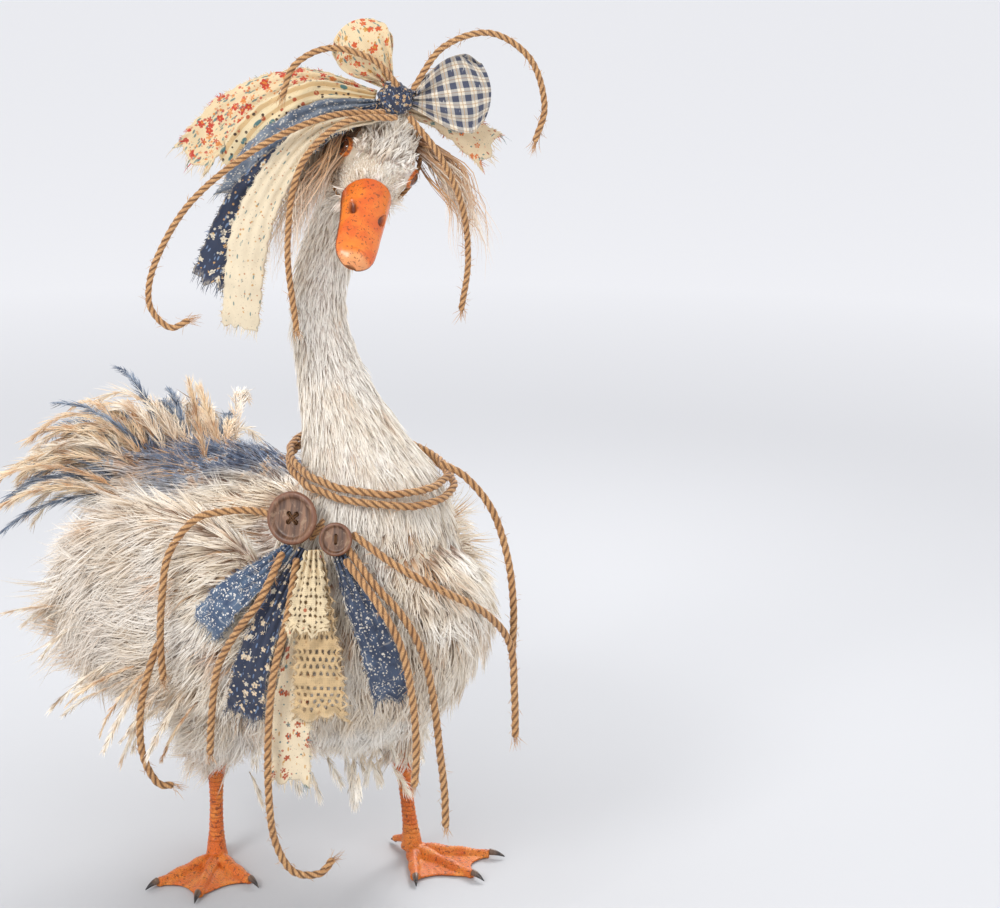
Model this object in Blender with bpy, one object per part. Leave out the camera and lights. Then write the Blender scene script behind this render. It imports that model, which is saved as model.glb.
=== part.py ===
"""A domestic goose of the loose-feathered kind, standing with its head turned and tilted.

Life size, in metres, +Z up. The goose wears a bow of cloth rags on its head and a twine collar with
two buttons and hanging rags. The feet stand on Z = 0, and the origin is under the middle of the
goose's own box. Body places are written as (forward, left, up) in the trunk's frame, and head
places in the head's own frame, so the pose follows from the angles below.
"""
import math

import bmesh
import bpy
import numpy as np
from mathutils import Matrix, Vector
from mathutils.bvhtree import BVHTree

# ---- driving dimensions -------------------------------------------------------------------
GAP = 0.0004                                    # clearance between touching pieces
SHIFT = Vector((0.0829, -0.0868, 0.0))          # puts the origin under the middle of the box

HEADING = math.radians(38)          # the breast points this far to +X of the front, -Y
TRUNK_MIDDLE = -0.008                # forward place of the trunk's middle
TRUNK_LENGTH = 0.470
TRUNK_HALF_WIDTH = 0.140
TRUNK_HALF_HEIGHT = 0.143
TRUNK_AXIS_HEIGHT = 0.277           # height of the trunk's axis at its lowest
TRUNK_AXIS_RISE = 1.05              # how fast the axis climbs towards both ends, per metre

HEAD_CENTRE = Vector((0.066, -0.100, 0.722))
HEAD_TURN = math.radians(6)         # towards +X
HEAD_NOD = math.radians(27)         # bill below the level
HEAD_TILT = math.radians(27)        # crown leans towards +X
HEAD_SCALE = 1.06                   # a large head for the breed: 177 mm from crown to bill tip
EYE_RADIUS = 0.0094
EYE_PLACE = Vector((0.0135, 0.0262, 0.0095))
BILL_ROOT = 0.0475                  # forward place of the bill's root in the head
BILL_LENGTH = 0.078

HEEL_RIGHT = Vector((-0.100, 0.036, 0.0))
HEEL_LEFT = Vector((0.098, 0.036, 0.0))
FOOT_TURN_RIGHT = math.radians(-8)
FOOT_TURN_LEFT = math.radians(38)
ANKLE_HEIGHT = 0.104
TOE_RADIUS = 0.0062
WEB_THICKNESS = 0.0042
TOES = {                                        # angle from the foot's forward line, and length
    "inner": (math.radians(-38), 0.080),
    "middle": (math.radians(2), 0.099),
    "outer": (math.radians(36), 0.091),
}

KNOT = Vector((0.084, -0.112, 0.777))           # middle of the head bow's knot
KNOT_RADII = (0.0165, 0.0130, 0.0145)
CLOTH = 0.0020                      # thickness of every rag
TWINE = 0.0072                      # diameter of the collar's twine and its hanging ends
HEAD_TWINE = 0.0058
BAND_TWINE = 0.0040
COLLAR_HEIGHT, COLLAR_SLOPE = 0.433, 0.016      # the rings' middle height, and their drop to the front
COLLAR_KNOT = Vector((0.003, -0.1425, 0.3990))
BUTTON_LARGE = (Vector((-0.014, -0.145, 0.411)), Vector((-0.40, -0.88, 0.25)), 0.0240, 0.0060)
BUTTON_SMALL = (Vector((0.0240, -0.168, 0.397)), Vector((-0.22, -0.94, 0.25)), 0.0150, 0.0048)

COLOURS = {
    "plumage": ((0.80, 0.74, 0.64, 1), 0.8),
    "bill": ((0.86, 0.36, 0.06, 1), 0.35),
    "leg": ((0.78, 0.30, 0.07, 1), 0.5),
    "claw": ((0.10, 0.09, 0.08, 1), 0.4),
    "eye": ((0.16, 0.06, 0.02, 1), 0.05),
    "twine": ((0.52, 0.34, 0.17, 1), 0.9),
    "button": ((0.30, 0.16, 0.09, 1), 0.4),
    "denim": ((0.10, 0.16, 0.28, 1), 0.9),
    "calico": ((0.78, 0.66, 0.47, 1), 0.9),
    "gingham": ((0.36, 0.38, 0.42, 1), 0.9),
    "lace": ((0.74, 0.55, 0.34, 1), 0.9),
}

FORWARD = Vector((math.sin(HEADING), -math.cos(HEADING), 0))
LEFT = Vector((math.cos(HEADING), math.sin(HEADING), 0))
UP = Vector((0, 0, 1))


# ---- scene ---------------------------------------------------------------------------------
def clear_scene():
    for old in list(bpy.data.objects):
        bpy.data.objects.remove(old, do_unlink=True)


def collection(name):
    group = bpy.data.collections.new(name)
    bpy.context.scene.collection.children.link(group)
    return group


clear_scene()
PARTS = collection("domestic_goose")
CUTTERS = collection("cutters")


def material(kind):
    made = bpy.data.materials.get(kind)
    if made:
        return made
    colour, roughness = COLOURS[kind]
    made = bpy.data.materials.new(kind)
    made.use_nodes = True
    shader = made.node_tree.nodes["Principled BSDF"]
    shader.inputs["Base Color"].default_value = colour
    shader.inputs["Roughness"].default_value = roughness
    shader.inputs["Metallic"].default_value = 0.0
    return made


def add_object(name, mesh, kind=None, smooth=50):
    """Link a mesh as a named part, or as a cutter where it has no material."""
    made = bpy.data.objects.new(name, mesh)
    if kind:
        PARTS.objects.link(made)
        mesh.materials.clear()
        mesh.materials.append(material(kind))
    else:
        CUTTERS.objects.link(made)
        made.hide_render = True
        made.display_type = "WIRE"
    mesh.shade_smooth()
    mesh.set_sharp_from_angle(angle=math.radians(smooth))
    return made


def boolean(target, other, operation):
    step = target.modifiers.new(operation.lower(), "BOOLEAN")
    step.operation = operation
    step.solver = "EXACT"
    step.object = other
    step.use_self = operation == "UNION"
    return step


# ---- shapes --------------------------------------------------------------------------------
def body_point(forward, left, up):
    return FORWARD * forward + LEFT * left + UP * up + SHIFT


def head_axes():
    """Forward, left and up of the head after its turn, nod and tilt, as the columns of a matrix."""
    level = Vector((math.sin(HEAD_TURN), -math.cos(HEAD_TURN), 0))
    side = Vector((math.cos(HEAD_TURN), math.sin(HEAD_TURN), 0))
    front = level * math.cos(HEAD_NOD) - UP * math.sin(HEAD_NOD)
    crown = UP * math.cos(HEAD_NOD) + level * math.sin(HEAD_NOD)
    tilt = Matrix.Rotation(HEAD_TILT, 3, "Y")
    return Matrix((tilt @ front, tilt @ side, tilt @ crown)).transposed()


HEAD_AXES = head_axes()


def head_point(forward, left, up):
    return HEAD_CENTRE + HEAD_AXES @ Vector((forward, left, up)) * HEAD_SCALE + SHIFT


def smooth_path(points, count):
    """Points evenly spread along one smooth curve through the given ones."""
    given = np.array([tuple(p) for p in points], float)
    first, last = 2 * given[0] - given[1], 2 * given[-1] - given[-2]
    ends = np.vstack([first, given, last])
    fine = []
    for i in range(len(given) - 1):
        t = np.linspace(0, 1, 24, endpoint=False)[:, None]
        a, b, c, d = ends[i : i + 4]
        bend, twist = 2 * a - 5 * b + 4 * c - d, 3 * b - a - 3 * c + d
        fine.append(0.5 * (2 * b + (c - a) * t + bend * t**2 + twist * t**3))
    fine = np.vstack(fine + [given[-1:]])
    run = np.concatenate([[0], np.cumsum(np.linalg.norm(np.diff(fine, axis=0), axis=1))])
    at = np.linspace(0, run[-1], count)
    return np.column_stack([np.interp(at, run, column) for column in fine.T])


def tube_rings(path, half_widths, half_depths, sides, face=(0, 0, 1)):
    """Elliptic rings square to a path; `face` is the side that the half-depths point to."""
    path = np.asarray(path, float)
    along = np.gradient(path, axis=0)
    along /= np.linalg.norm(along, axis=1)[:, None]
    across = np.cross(along, np.broadcast_to(np.asarray(face, float), path.shape))
    across /= np.linalg.norm(across, axis=1)[:, None]
    outward = np.cross(across, along)
    angle = np.arange(sides) * 2 * math.pi / sides
    wide = np.broadcast_to(half_widths, len(path))[:, None, None]
    deep = np.broadcast_to(half_depths, len(path))[:, None, None]
    turn = np.cos(angle)[None, :, None] * across[:, None] * wide
    rise = np.sin(angle)[None, :, None] * outward[:, None] * deep
    return path[:, None] + turn + rise


def ring_mesh(name, rings):
    """Join rings of equal count in order and close both ends with flat faces."""
    count, sides = rings.shape[:2]
    mesh = bpy.data.meshes.new(name)
    faces = [
        (i * sides + j, i * sides + (j + 1) % sides, (i + 1) * sides + (j + 1) % sides, (i + 1) * sides + j)
        for i in range(count - 1)
        for j in range(sides)
    ]
    faces.append(tuple(reversed(range(sides))))
    faces.append(tuple((count - 1) * sides + j for j in range(sides)))
    mesh.from_pydata(rings.reshape(-1, 3).tolist(), [], faces)
    face_outwards(mesh)
    return mesh


def face_outwards(mesh):
    work = bmesh.new()
    work.from_mesh(mesh)
    bmesh.ops.recalc_face_normals(work, faces=work.faces)
    if work.calc_volume(signed=True) < 0:
        bmesh.ops.reverse_faces(work, faces=work.faces)
    work.to_mesh(mesh)
    work.free()


def join_meshes(name, meshes):
    work = bmesh.new()
    for mesh in meshes:
        work.from_mesh(mesh)
        bpy.data.meshes.remove(mesh)
    joined = bpy.data.meshes.new(name)
    work.to_mesh(joined)
    work.free()
    return joined


def plume(root, direction, length, width, droop=0.0, sway=Vector((0, 0, 0)), steps=4, thick=0.35):
    """One lock of feathers: a slim lens-shaped spike that bends down by `droop` at its tip."""
    direction = Vector(direction).normalized()
    t = np.linspace(0, 1, steps)
    bend = np.array(tuple(Vector((0, 0, -droop)) + sway))
    path = np.array(tuple(root)) + np.outer(t * length, np.array(tuple(direction))) + np.outer(t**2, bend)
    half = width / 2 * (1 - t**1.6) * 0.93 + width * 0.035
    face = Vector((0, 0, 1)) if abs(direction.z) < 0.8 else Vector((direction.x, direction.y - 1, 0.2))
    return ring_mesh("plume", tube_rings(path, half, half * thick, 4, tuple(face)))


# ---- trunk, wings, tail --------------------------------------------------------------------
def trunk_profile(forward):
    """Half-width, axis height and half-height of the trunk at a place along it."""
    share = min(1.0, abs(forward - TRUNK_MIDDLE) / (TRUNK_LENGTH / 2))
    round_off = math.sqrt(max(0.0, 1 - share**2.35))
    axis = TRUNK_AXIS_HEIGHT + TRUNK_AXIS_RISE * (forward - 0.01) ** 2
    return TRUNK_HALF_WIDTH * round_off, axis, TRUNK_HALF_HEIGHT * round_off


def trunk_mesh(name, grow=0.0):
    rings = []
    for t in np.linspace(0.05, 0.95, 10):
        forward = TRUNK_MIDDLE - TRUNK_LENGTH / 2 * math.cos(math.pi * t)
        wide, axis, high = trunk_profile(forward)
        reach = forward + grow * (-1 if t < 0.1 else 1 if t > 0.9 else 0)
        turn = [2 * math.pi * (j + 0.5) / 18 for j in range(18)]
        ring = [((wide + grow) * math.cos(a), axis + (high + grow) * math.sin(a)) for a in turn]
        rings.append([body_point(reach, left, up) for left, up in ring])
    return ring_mesh(name, np.array([[tuple(p) for p in ring] for ring in rings]))


def belly_height(forward, left):
    """Height of the trunk's underside at a place ahead of and beside its middle."""
    wide, axis, high = trunk_profile(forward)
    return axis - high * math.sqrt(1 - (left / wide) ** 2)


def belly_plumes():
    """Loose locks hanging round the lower belly, between and behind the legs."""
    locks = []
    for i in range(7):
        angle = 2 * math.pi * i / 7 + 0.3
        forward, left = -0.02 + 0.12 * math.cos(angle), 0.046 * math.sin(angle)
        root = body_point(forward, left, belly_height(forward, left) + 0.014)
        out = FORWARD * math.cos(angle) * 0.35 + LEFT * math.sin(angle) * 0.12 - UP
        locks.append(plume(root, out, 0.050 + 0.007 * (i % 3), 0.036, steps=3))
    return join_meshes("belly_plumes", locks)


def make_trunk():
    trunk = add_object("trunk", trunk_mesh("trunk"), "plumage")
    boolean(trunk, add_object("trunk_locks", belly_plumes()), "UNION")
    return trunk


def wing_mesh(side, grow=0.0):
    """A folded wing: an egg laid on the trunk's side, with trailing curled locks."""
    work = bmesh.new()
    bmesh.ops.create_uvsphere(work, u_segments=11, v_segments=8, radius=1.0)
    sizes = Vector((0.166, 0.047, 0.106))
    scale = Matrix.Diagonal((sizes.x + grow, sizes.y + grow, sizes.z + grow, 1))
    tilt = Matrix.Rotation(math.radians(-7), 4, "Y") @ Matrix.Rotation(math.radians(-side * 5), 4, "Z")
    place = Matrix.Translation((-0.052, side * 0.1235, 0.297))
    frame = Matrix((FORWARD, LEFT, UP)).transposed().to_4x4()
    matrix = Matrix.Translation(SHIFT) @ frame @ place @ tilt @ scale
    bmesh.ops.transform(work, matrix=matrix, verts=work.verts)
    mesh = bpy.data.meshes.new("wing")
    work.to_mesh(mesh)
    work.free()
    return mesh


def wing_plumes(side):
    locks = []
    for i in range(6):
        t = i / 6
        aside = 0.129 + 0.014 * math.sin(math.pi * t)
        root = body_point(-0.145 + 0.165 * t**1.2, side * aside, 0.290 - 0.076 * t)
        spread = 0.30 + 0.12 * (i % 2) + 0.28 * t
        out = -FORWARD * (1.0 - 0.85 * t) + LEFT * side * spread - UP * (0.15 + 0.95 * t)
        length = 0.125 - 0.055 * t + 0.012 * (i % 2)
        locks.append(plume(root, out, length, 0.040, droop=0.012 - 0.03 * (i % 2)))
    return join_meshes("wing_plumes", locks)


def make_wing(name, side):
    wing = add_object(name, wing_mesh(side), "plumage")
    boolean(wing, add_object(name + "_locks", wing_plumes(side)), "UNION")
    boolean(wing, add_object(name + "_bed", trunk_mesh("bed", GAP)), "DIFFERENCE")
    return wing


def tail_base():
    stations = [(-0.150, 0.335, 0.070, 0.050), (-0.205, 0.350, 0.072, 0.044), (-0.245, 0.362, 0.068, 0.034)]
    stations += [(-0.275, 0.370, 0.055, 0.022), (-0.295, 0.375, 0.030, 0.012)]
    path = [tuple(body_point(f, 0, z)) for f, z, _, _ in stations]
    wide, deep = (np.array([s[k] for s in stations]) for k in (2, 3))
    return ring_mesh("tail", tube_rings(path, wide, deep, 12))


def tail_plumes():
    """The tail's fan: long plumes that rise, spread to both sides and curl over at the tip."""
    locks = []
    for i in range(9):
        u = (i - 4) / 4
        fan = math.radians(40) * u
        lift = math.radians(20 + 22 * (1 - u * u) * (1 if i % 2 else 0.35))
        out = (-FORWARD * math.cos(fan) + LEFT * math.sin(fan)) * math.cos(lift) + UP * math.sin(lift)
        root = body_point(-0.225, 0.050 * u, 0.360)
        length = 0.205 - 0.035 * abs(u)
        locks.append(plume(root, out, length, 0.042, droop=0.030 + 0.02 * (i % 2), sway=LEFT * 0.03 * u))
    for i, side in enumerate((-1, 0, 1)):
        out = -FORWARD * 0.62 + LEFT * side * 0.35 + UP * (1.0 + 0.15 * (i % 2))
        root = body_point(-0.240, 0.022 * side, 0.376)
        locks.append(plume(root, out, 0.138, 0.034, droop=0.022, sway=-FORWARD * 0.03))
    return join_meshes("tail_plumes", locks)


def make_tail():
    tail = add_object("tail", tail_base(), "plumage")
    boolean(tail, add_object("tail_locks", tail_plumes()), "UNION")
    boolean(tail, add_object("tail_bed", trunk_mesh("bed", GAP)), "DIFFERENCE")
    for side in (-1, 1):
        boolean(tail, add_object(f"tail_side_{side}", wing_mesh(side, GAP)), "DIFFERENCE")
    return tail


# ---- neck and head -------------------------------------------------------------------------
# forward, left, up and radius, from inside the trunk to the turn of the neck below the head
NECK_STATIONS = (
    (0.085, 0.0, 0.330, 0.085), (0.090, 0.0, 0.372, 0.088), (0.090, 0.0, 0.398, 0.0835),
    (0.084, 0.0, 0.424, 0.071), (0.074, -0.003, 0.455, 0.0545), (0.060, -0.007, 0.495, 0.0405),
    (0.047, -0.012, 0.540, 0.0318), (0.041, -0.014, 0.590, 0.0285), (0.050, -0.006, 0.640, 0.0280),
)
NECK_TOP_RADIUS = 0.0285


def neck_mesh(grow=0.0):
    """The S of the neck, from a wide foot on the breast to the back of the head."""
    path = [body_point(f, l, u) for f, l, u, _ in NECK_STATIONS]
    path += [head_point(-0.018, 0, -0.030), head_point(-0.006, 0, -0.004)]
    radii = [station[3] for station in NECK_STATIONS] + [NECK_TOP_RADIUS, NECK_TOP_RADIUS]
    rows = smooth_path([(*p, r) for p, r in zip(path, radii)], 12)
    radii = rows[:, 3] + grow
    return ring_mesh("neck", tube_rings(rows[:, :3], radii, radii, 13, tuple(FORWARD)))


# forward place, height of the middle, half-width and half-height
HEAD_STATIONS = (
    (-0.0405, 0.0035, 0.0110, 0.0110), (-0.0350, 0.0035, 0.0195, 0.0200), (-0.0220, 0.0030, 0.0285, 0.0300),
    (-0.0040, 0.0020, 0.0330, 0.0350), (0.0130, 0.0000, 0.0325, 0.0335), (0.0280, -0.0030, 0.0283, 0.0290),
    (0.0395, -0.0055, 0.0238, 0.0248), (0.0475, -0.0070, 0.0212, 0.0225),
)


def head_mesh(grow=0.0):
    """Upright oval sections from the back of the skull to the flat face that the bill grows from."""
    margin = grow / HEAD_SCALE
    rings = []
    for forward, middle, wide, high in HEAD_STATIONS:
        turn = [2 * math.pi * j / 12 for j in range(12)]
        reach = forward - margin if forward < 0 else forward
        ring = [((wide + margin) * math.cos(a), middle + (high + margin) * math.sin(a)) for a in turn]
        rings.append([tuple(head_point(reach, left, up)) for left, up in ring])
    return ring_mesh("head", np.array(rings))


def head_plumes():
    """Short spiky tufts on the forehead, and wisps that hang from the cheeks."""
    locks = []
    for i in range(3):
        angle = math.radians(-45 + 45 * i)
        root = head_point(0.012, 0.015 * math.sin(angle), 0.016 * math.cos(angle) + 0.004)
        out = HEAD_AXES @ Vector((0.35, math.sin(angle), math.cos(angle)))
        locks.append(plume(root, out, 0.030 + 0.004 * (i % 2), 0.013, steps=3))
    for side in (-1, 1):
        for i in range(3):
            root = head_point(0.029 - 0.007 * i, side * 0.014, -0.012 - 0.003 * i)
            out = HEAD_AXES @ Vector((0.10 - 0.05 * i, side * 0.80, -0.45)) - UP * 0.45
            locks.append(plume(root, out, 0.036 + 0.005 * i, 0.013, steps=3))
    return join_meshes("head_plumes", locks)


def eye_mesh(side, radius):
    work = bmesh.new()
    bmesh.ops.create_uvsphere(work, u_segments=9, v_segments=6, radius=radius)
    place = head_point(EYE_PLACE.x, side * EYE_PLACE.y, EYE_PLACE.z)
    bmesh.ops.translate(work, vec=place, verts=work.verts)
    mesh = bpy.data.meshes.new("eye")
    work.to_mesh(mesh)
    work.free()
    return mesh


def make_head():
    head = add_object("head", head_mesh(), "plumage")
    boolean(head, add_object("head_locks", head_plumes()), "UNION")
    for side, name in ((1, "eye_left"), (-1, "eye_right")):
        boolean(head, add_object(name + "_socket", eye_mesh(side, EYE_RADIUS + GAP)), "DIFFERENCE")
        add_object(name, eye_mesh(side, EYE_RADIUS), "eye", smooth=180)
    neck = add_object("neck", neck_mesh(), "plumage")
    boolean(neck, add_object("neck_foot_bed", trunk_mesh("bed", GAP)), "DIFFERENCE")
    boolean(neck, add_object("neck_top_bed", head_mesh(GAP)), "DIFFERENCE")


# share of the length from root to tip, half-width, ridge height, height of the mouth line, depth of the jaw
BILL_STATIONS = (
    (0.00, 0.0205, 0.0150, -0.0105, 0.0175), (0.12, 0.0200, 0.0118, -0.0110, 0.0160),
    (0.30, 0.0192, 0.0066, -0.0105, 0.0140), (0.50, 0.0183, 0.0016, -0.0112, 0.0118),
    (0.68, 0.0178, -0.0022, -0.0128, 0.0100), (0.82, 0.0170, -0.0052, -0.0150, 0.0084),
    (0.92, 0.0142, -0.0082, -0.0172, 0.0066), (0.98, 0.0090, -0.0120, -0.0192, 0.0046),
    (1.00, 0.0040, -0.0150, -0.0202, 0.0030),
)


def bill_rings(upper):
    """Half-round sections: the dome of the upper bill, or the shallow trough of the lower."""
    rings = []
    for share, wide, ridge, mouth, jaw in BILL_STATIONS:
        forward = BILL_ROOT + GAP + share * BILL_LENGTH * (1.0 if upper else 0.955)
        edge = mouth if upper else mouth - GAP
        reach = (ridge - mouth) if upper else -jaw
        spread = wide if upper else wide * 0.90
        arc = [math.pi * j / 8 for j in range(9)]
        ring = [head_point(forward, spread * math.cos(a), edge + reach * math.sin(a) ** 0.8) for a in arc]
        rings.append([tuple(p) for p in ring])
    return np.array(rings)


def make_bill():
    upper = add_object("bill_upper", ring_mesh("bill_upper", bill_rings(True)), "bill")
    for side in (-1, 1):
        work = bmesh.new()
        bmesh.ops.create_uvsphere(work, u_segments=7, v_segments=5, radius=1.0)
        place = head_point(BILL_ROOT + 0.36 * BILL_LENGTH, side * 0.0125, 0.0005)
        frame = HEAD_AXES.to_4x4() @ Matrix.Rotation(math.radians(6), 4, "Y")
        sizes = Matrix.Diagonal((0.0052, 0.0040, 0.0020, 1))
        bmesh.ops.transform(work, matrix=Matrix.Translation(place) @ frame @ sizes, verts=work.verts)
        mesh = bpy.data.meshes.new("nostril")
        work.to_mesh(mesh)
        work.free()
        boolean(upper, add_object(f"nostril_{side}", mesh), "DIFFERENCE")
    add_object("bill_lower", ring_mesh("bill_lower", bill_rings(False)), "bill")


# ---- legs ----------------------------------------------------------------------------------
def foot_point(heel, turn, angle, reach, height):
    """A place on a foot, by its angle from the foot's own forward line and its reach from the heel."""
    aim = turn + angle
    return heel + Vector((math.sin(aim), -math.cos(aim), 0)) * reach + UP * height + SHIFT


def web_mesh(heel, turn, side):
    """The webs: a flat plate whose front edge bows in between the three toes."""
    tips = [(side * angle, length - 0.010) for angle, length in TOES.values()]
    outline = [foot_point(heel, turn, side * math.radians(-100), 0.004, 0)]
    for (start, near), (end, far) in zip(tips, tips[1:]):
        for t in np.linspace(0, 1, 5):
            dip = 1 - 0.17 * math.sin(math.pi * t)
            reach = (near + (far - near) * t) * dip
            outline.append(foot_point(heel, turn, start + (end - start) * t, reach, 0))
    outline.append(foot_point(heel, turn, side * math.radians(100), 0.004, 0))
    work = bmesh.new()
    face = work.faces.new([work.verts.new(p) for p in outline])
    top = bmesh.ops.extrude_face_region(work, geom=[face])["geom"]
    lift = [v for v in top if isinstance(v, bmesh.types.BMVert)]
    bmesh.ops.translate(work, vec=UP * WEB_THICKNESS, verts=lift)
    bmesh.ops.remove_doubles(work, verts=work.verts, dist=1e-5)
    mesh = bpy.data.meshes.new("web")
    work.to_mesh(mesh)
    work.free()
    face_outwards(mesh)
    return mesh


def toe_mesh(heel, turn, angle, length):
    """A toe with knuckle swells, its sole cut flat by the floor."""
    share = np.linspace(0, 1, 5)
    places = [(s * (length - 0.006) - 0.004, 0.0058 - 0.0012 * s) for s in share]
    path = [tuple(foot_point(heel, turn, angle, reach, height)) for reach, height in places]
    swell = TOE_RADIUS * (1.15 - 0.30 * share) * (1 + 0.10 * np.cos(share * 3 * 2 * math.pi))
    return ring_mesh("toe", tube_rings(path, swell, swell * 0.95, 6))


def hind_toe(heel, turn):
    places = ((-0.004, 0.012), (0.010, 0.011), (0.021, 0.0075), (0.028, 0.0055))
    path = [tuple(foot_point(heel, turn, math.pi, reach, height)) for reach, height in places]
    half = np.array((0.0052, 0.0050, 0.0044, 0.0038))
    return ring_mesh("toe", tube_rings(path, half, half, 6))


def floor_cutter():
    work = bmesh.new()
    bmesh.ops.create_cube(work, size=1.0)
    matrix = Matrix.Translation((0, 0, -0.5)) @ Matrix.Diagonal((2, 2, 1, 1))
    bmesh.ops.transform(work, matrix=matrix, verts=work.verts)
    mesh = bpy.data.meshes.new("floor")
    work.to_mesh(mesh)
    work.free()
    return mesh


def claw_mesh(root, aim, length, radius):
    """A blunt horn claw that bends down to the floor."""
    t = np.linspace(0, 1, 4)
    path = np.array(tuple(root)) + np.outer(t * length, np.array(tuple(aim)))
    path[:, 2] += -(root.z - SHIFT.z - 0.0022) * t**2
    half = radius * (1 - t**1.5) + 0.0008
    return ring_mesh("claw", tube_rings(path, half * 0.9, half, 6))


def shank_mesh(heel, turn, grow=0.0):
    """Ankle knob, slim shank and the widening above the toes."""
    rows = [(0.010 - grow, 0.0, 0.0098), (0.020, 0.001, 0.0086), (0.035, 0.003, 0.0072)]
    rows += [(0.060, 0.007, 0.0068), (0.082, 0.0105, 0.0078), (0.096, 0.012, 0.0108)]
    rows += [(ANKLE_HEIGHT, 0.012, 0.0118), (0.112, 0.012, 0.0108), (0.128, 0.009, 0.0100)]
    path = [tuple(foot_point(heel, turn, math.pi, back, height)) for height, back, _ in rows]
    wide = np.array([row[2] for row in rows]) + grow
    front = (math.sin(turn), -math.cos(turn), 0)
    return ring_mesh("shank", tube_rings(path, wide * 0.92, wide, 10, front))


def thigh_mesh(heel, turn, side, grow=0.0):
    """The feathered thigh, from inside the trunk to just above the ankle."""
    hip = body_point(-0.010, side * 0.080, 0.240)
    ankle = foot_point(heel, turn, math.pi, 0.009, 0.1245 - grow)
    path = smooth_path([hip, ankle], 7)
    wide = np.array([0.050, 0.051, 0.050, 0.045, 0.036, 0.026, 0.0165]) + grow
    return ring_mesh("thigh", tube_rings(path, wide, wide, 11, tuple(FORWARD)))


def pad_mesh(heel, turn):
    """The pad where the toes meet under the shank."""
    path = [tuple(foot_point(heel, turn, 0, 0, height)) for height in (0.0015, 0.009, 0.0125)]
    half = np.array((0.0135, 0.0115, 0.0092))
    return ring_mesh("pad", tube_rings(path, half, half, 10, (0, 1, 0)))


def make_leg(name, side, heel, turn):
    foot = add_object("foot_" + name, web_mesh(heel, turn, side), "leg", smooth=40)
    toes = [toe_mesh(heel, turn, side * angle, length) for angle, length in TOES.values()]
    toes += [hind_toe(heel, turn), pad_mesh(heel, turn)]
    boolean(foot, add_object(f"toes_{name}", join_meshes("toes", toes)), "UNION")
    boolean(foot, add_object(f"floor_{name}", floor_cutter()), "DIFFERENCE")
    shank = add_object("shank_" + name, shank_mesh(heel, turn), "leg")
    boolean(foot, add_object(f"shank_{name}_bed", shank_mesh(heel, turn, GAP)), "DIFFERENCE")
    thigh = add_object("thigh_" + name, thigh_mesh(heel, turn, side), "plumage")
    boolean(thigh, add_object(f"thigh_{name}_bed", trunk_mesh("bed", GAP)), "DIFFERENCE")
    boolean(thigh, add_object(f"thigh_{name}_wing", wing_mesh(side, GAP)), "DIFFERENCE")
    boolean(shank, add_object(f"shank_{name}_top", thigh_mesh(heel, turn, side, GAP)), "DIFFERENCE")
    for toe, (angle, length) in TOES.items():
        root = foot_point(heel, turn, side * angle, length - 0.0095, 0.0062)
        aim = foot_point(heel, turn, side * angle, 1, 0) - foot_point(heel, turn, side * angle, 0, 0)
        claw = add_object(f"claw_{toe}_{name}", claw_mesh(root, aim, 0.0155, 0.0030), "claw")
        bed = claw_mesh(root, aim, 0.0155, 0.0030 + GAP)
        boolean(foot, add_object(f"claw_{toe}_{name}_bed", bed), "DIFFERENCE")
        boolean(claw, add_object(f"claw_{toe}_{name}_floor", floor_cutter()), "DIFFERENCE")


# ---- head bow ------------------------------------------------------------------------------
def ribbon_rings(path, widths, face):
    """Oblong sections along a rag: the corners of its width and thickness, square to the path."""
    spread = np.interp(np.linspace(0, 1, len(path)), np.linspace(0, 1, len(widths)), widths) / math.sqrt(2)
    return tube_rings(path, spread, CLOTH / math.sqrt(2), 8, face)[:, 1::2]


def add_rag(name, kind, route, widths, face, origin=Vector((0, 0, 0))):
    path = smooth_path([tuple(origin + Vector(p) + SHIFT) for p in route], 7)
    return add_object(name, ring_mesh(name, ribbon_rings(path, widths, face)), kind, smooth=30)


def add_twine(name, route, diameter, origin=Vector((0, 0, 0)), closed=False):
    """A length of twine: a round tube on a smooth route, with a point every two or three diameters."""
    stops = [tuple(origin + Vector(p) + SHIFT) for p in route]
    rough = smooth_path(stops, 200)
    length = float(np.linalg.norm(np.diff(rough, axis=0), axis=1).sum())
    points = smooth_path(stops, max(8, round(length / (3.0 * diameter))))
    curve = bpy.data.curves.new(name, "CURVE")
    curve.dimensions = "3D"
    curve.bevel_depth = diameter / 2
    curve.bevel_resolution = 2
    curve.use_fill_caps = not closed
    spline = curve.splines.new("POLY")
    points = points[:-1] if closed else points
    spline.points.add(len(points) - 1)
    spline.points.foreach_set("co", np.column_stack([points, np.ones(len(points))]).ravel())
    spline.use_cyclic_u = closed
    made = bpy.data.objects.new(name, curve)
    PARTS.objects.link(made)
    curve.materials.append(material("twine"))
    return made


def egg_mesh(centre, radii, axes=Matrix.Identity(3), segments=10, rings=7):
    work = bmesh.new()
    bmesh.ops.create_uvsphere(work, u_segments=segments, v_segments=rings, radius=1.0)
    matrix = Matrix.Translation(centre) @ axes.to_4x4() @ Matrix.Diagonal((*radii, 1))
    bmesh.ops.transform(work, matrix=matrix, verts=work.verts)
    mesh = bpy.data.meshes.new("egg")
    work.to_mesh(mesh)
    work.free()
    return mesh


def loop_mesh(name, route, heights, depths):
    """A bow's loop as a plump closed pad, pinched at the knot."""
    path = smooth_path([tuple(KNOT + Vector(p) + SHIFT) for p in route], 8)
    at, rows = np.linspace(0, 1, 8), np.linspace(0, 1, len(heights))
    rings = tube_rings(path, np.interp(at, rows, heights), np.interp(at, rows, depths), 10, (0, -1, 0))
    return ring_mesh(name, rings)


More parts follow.
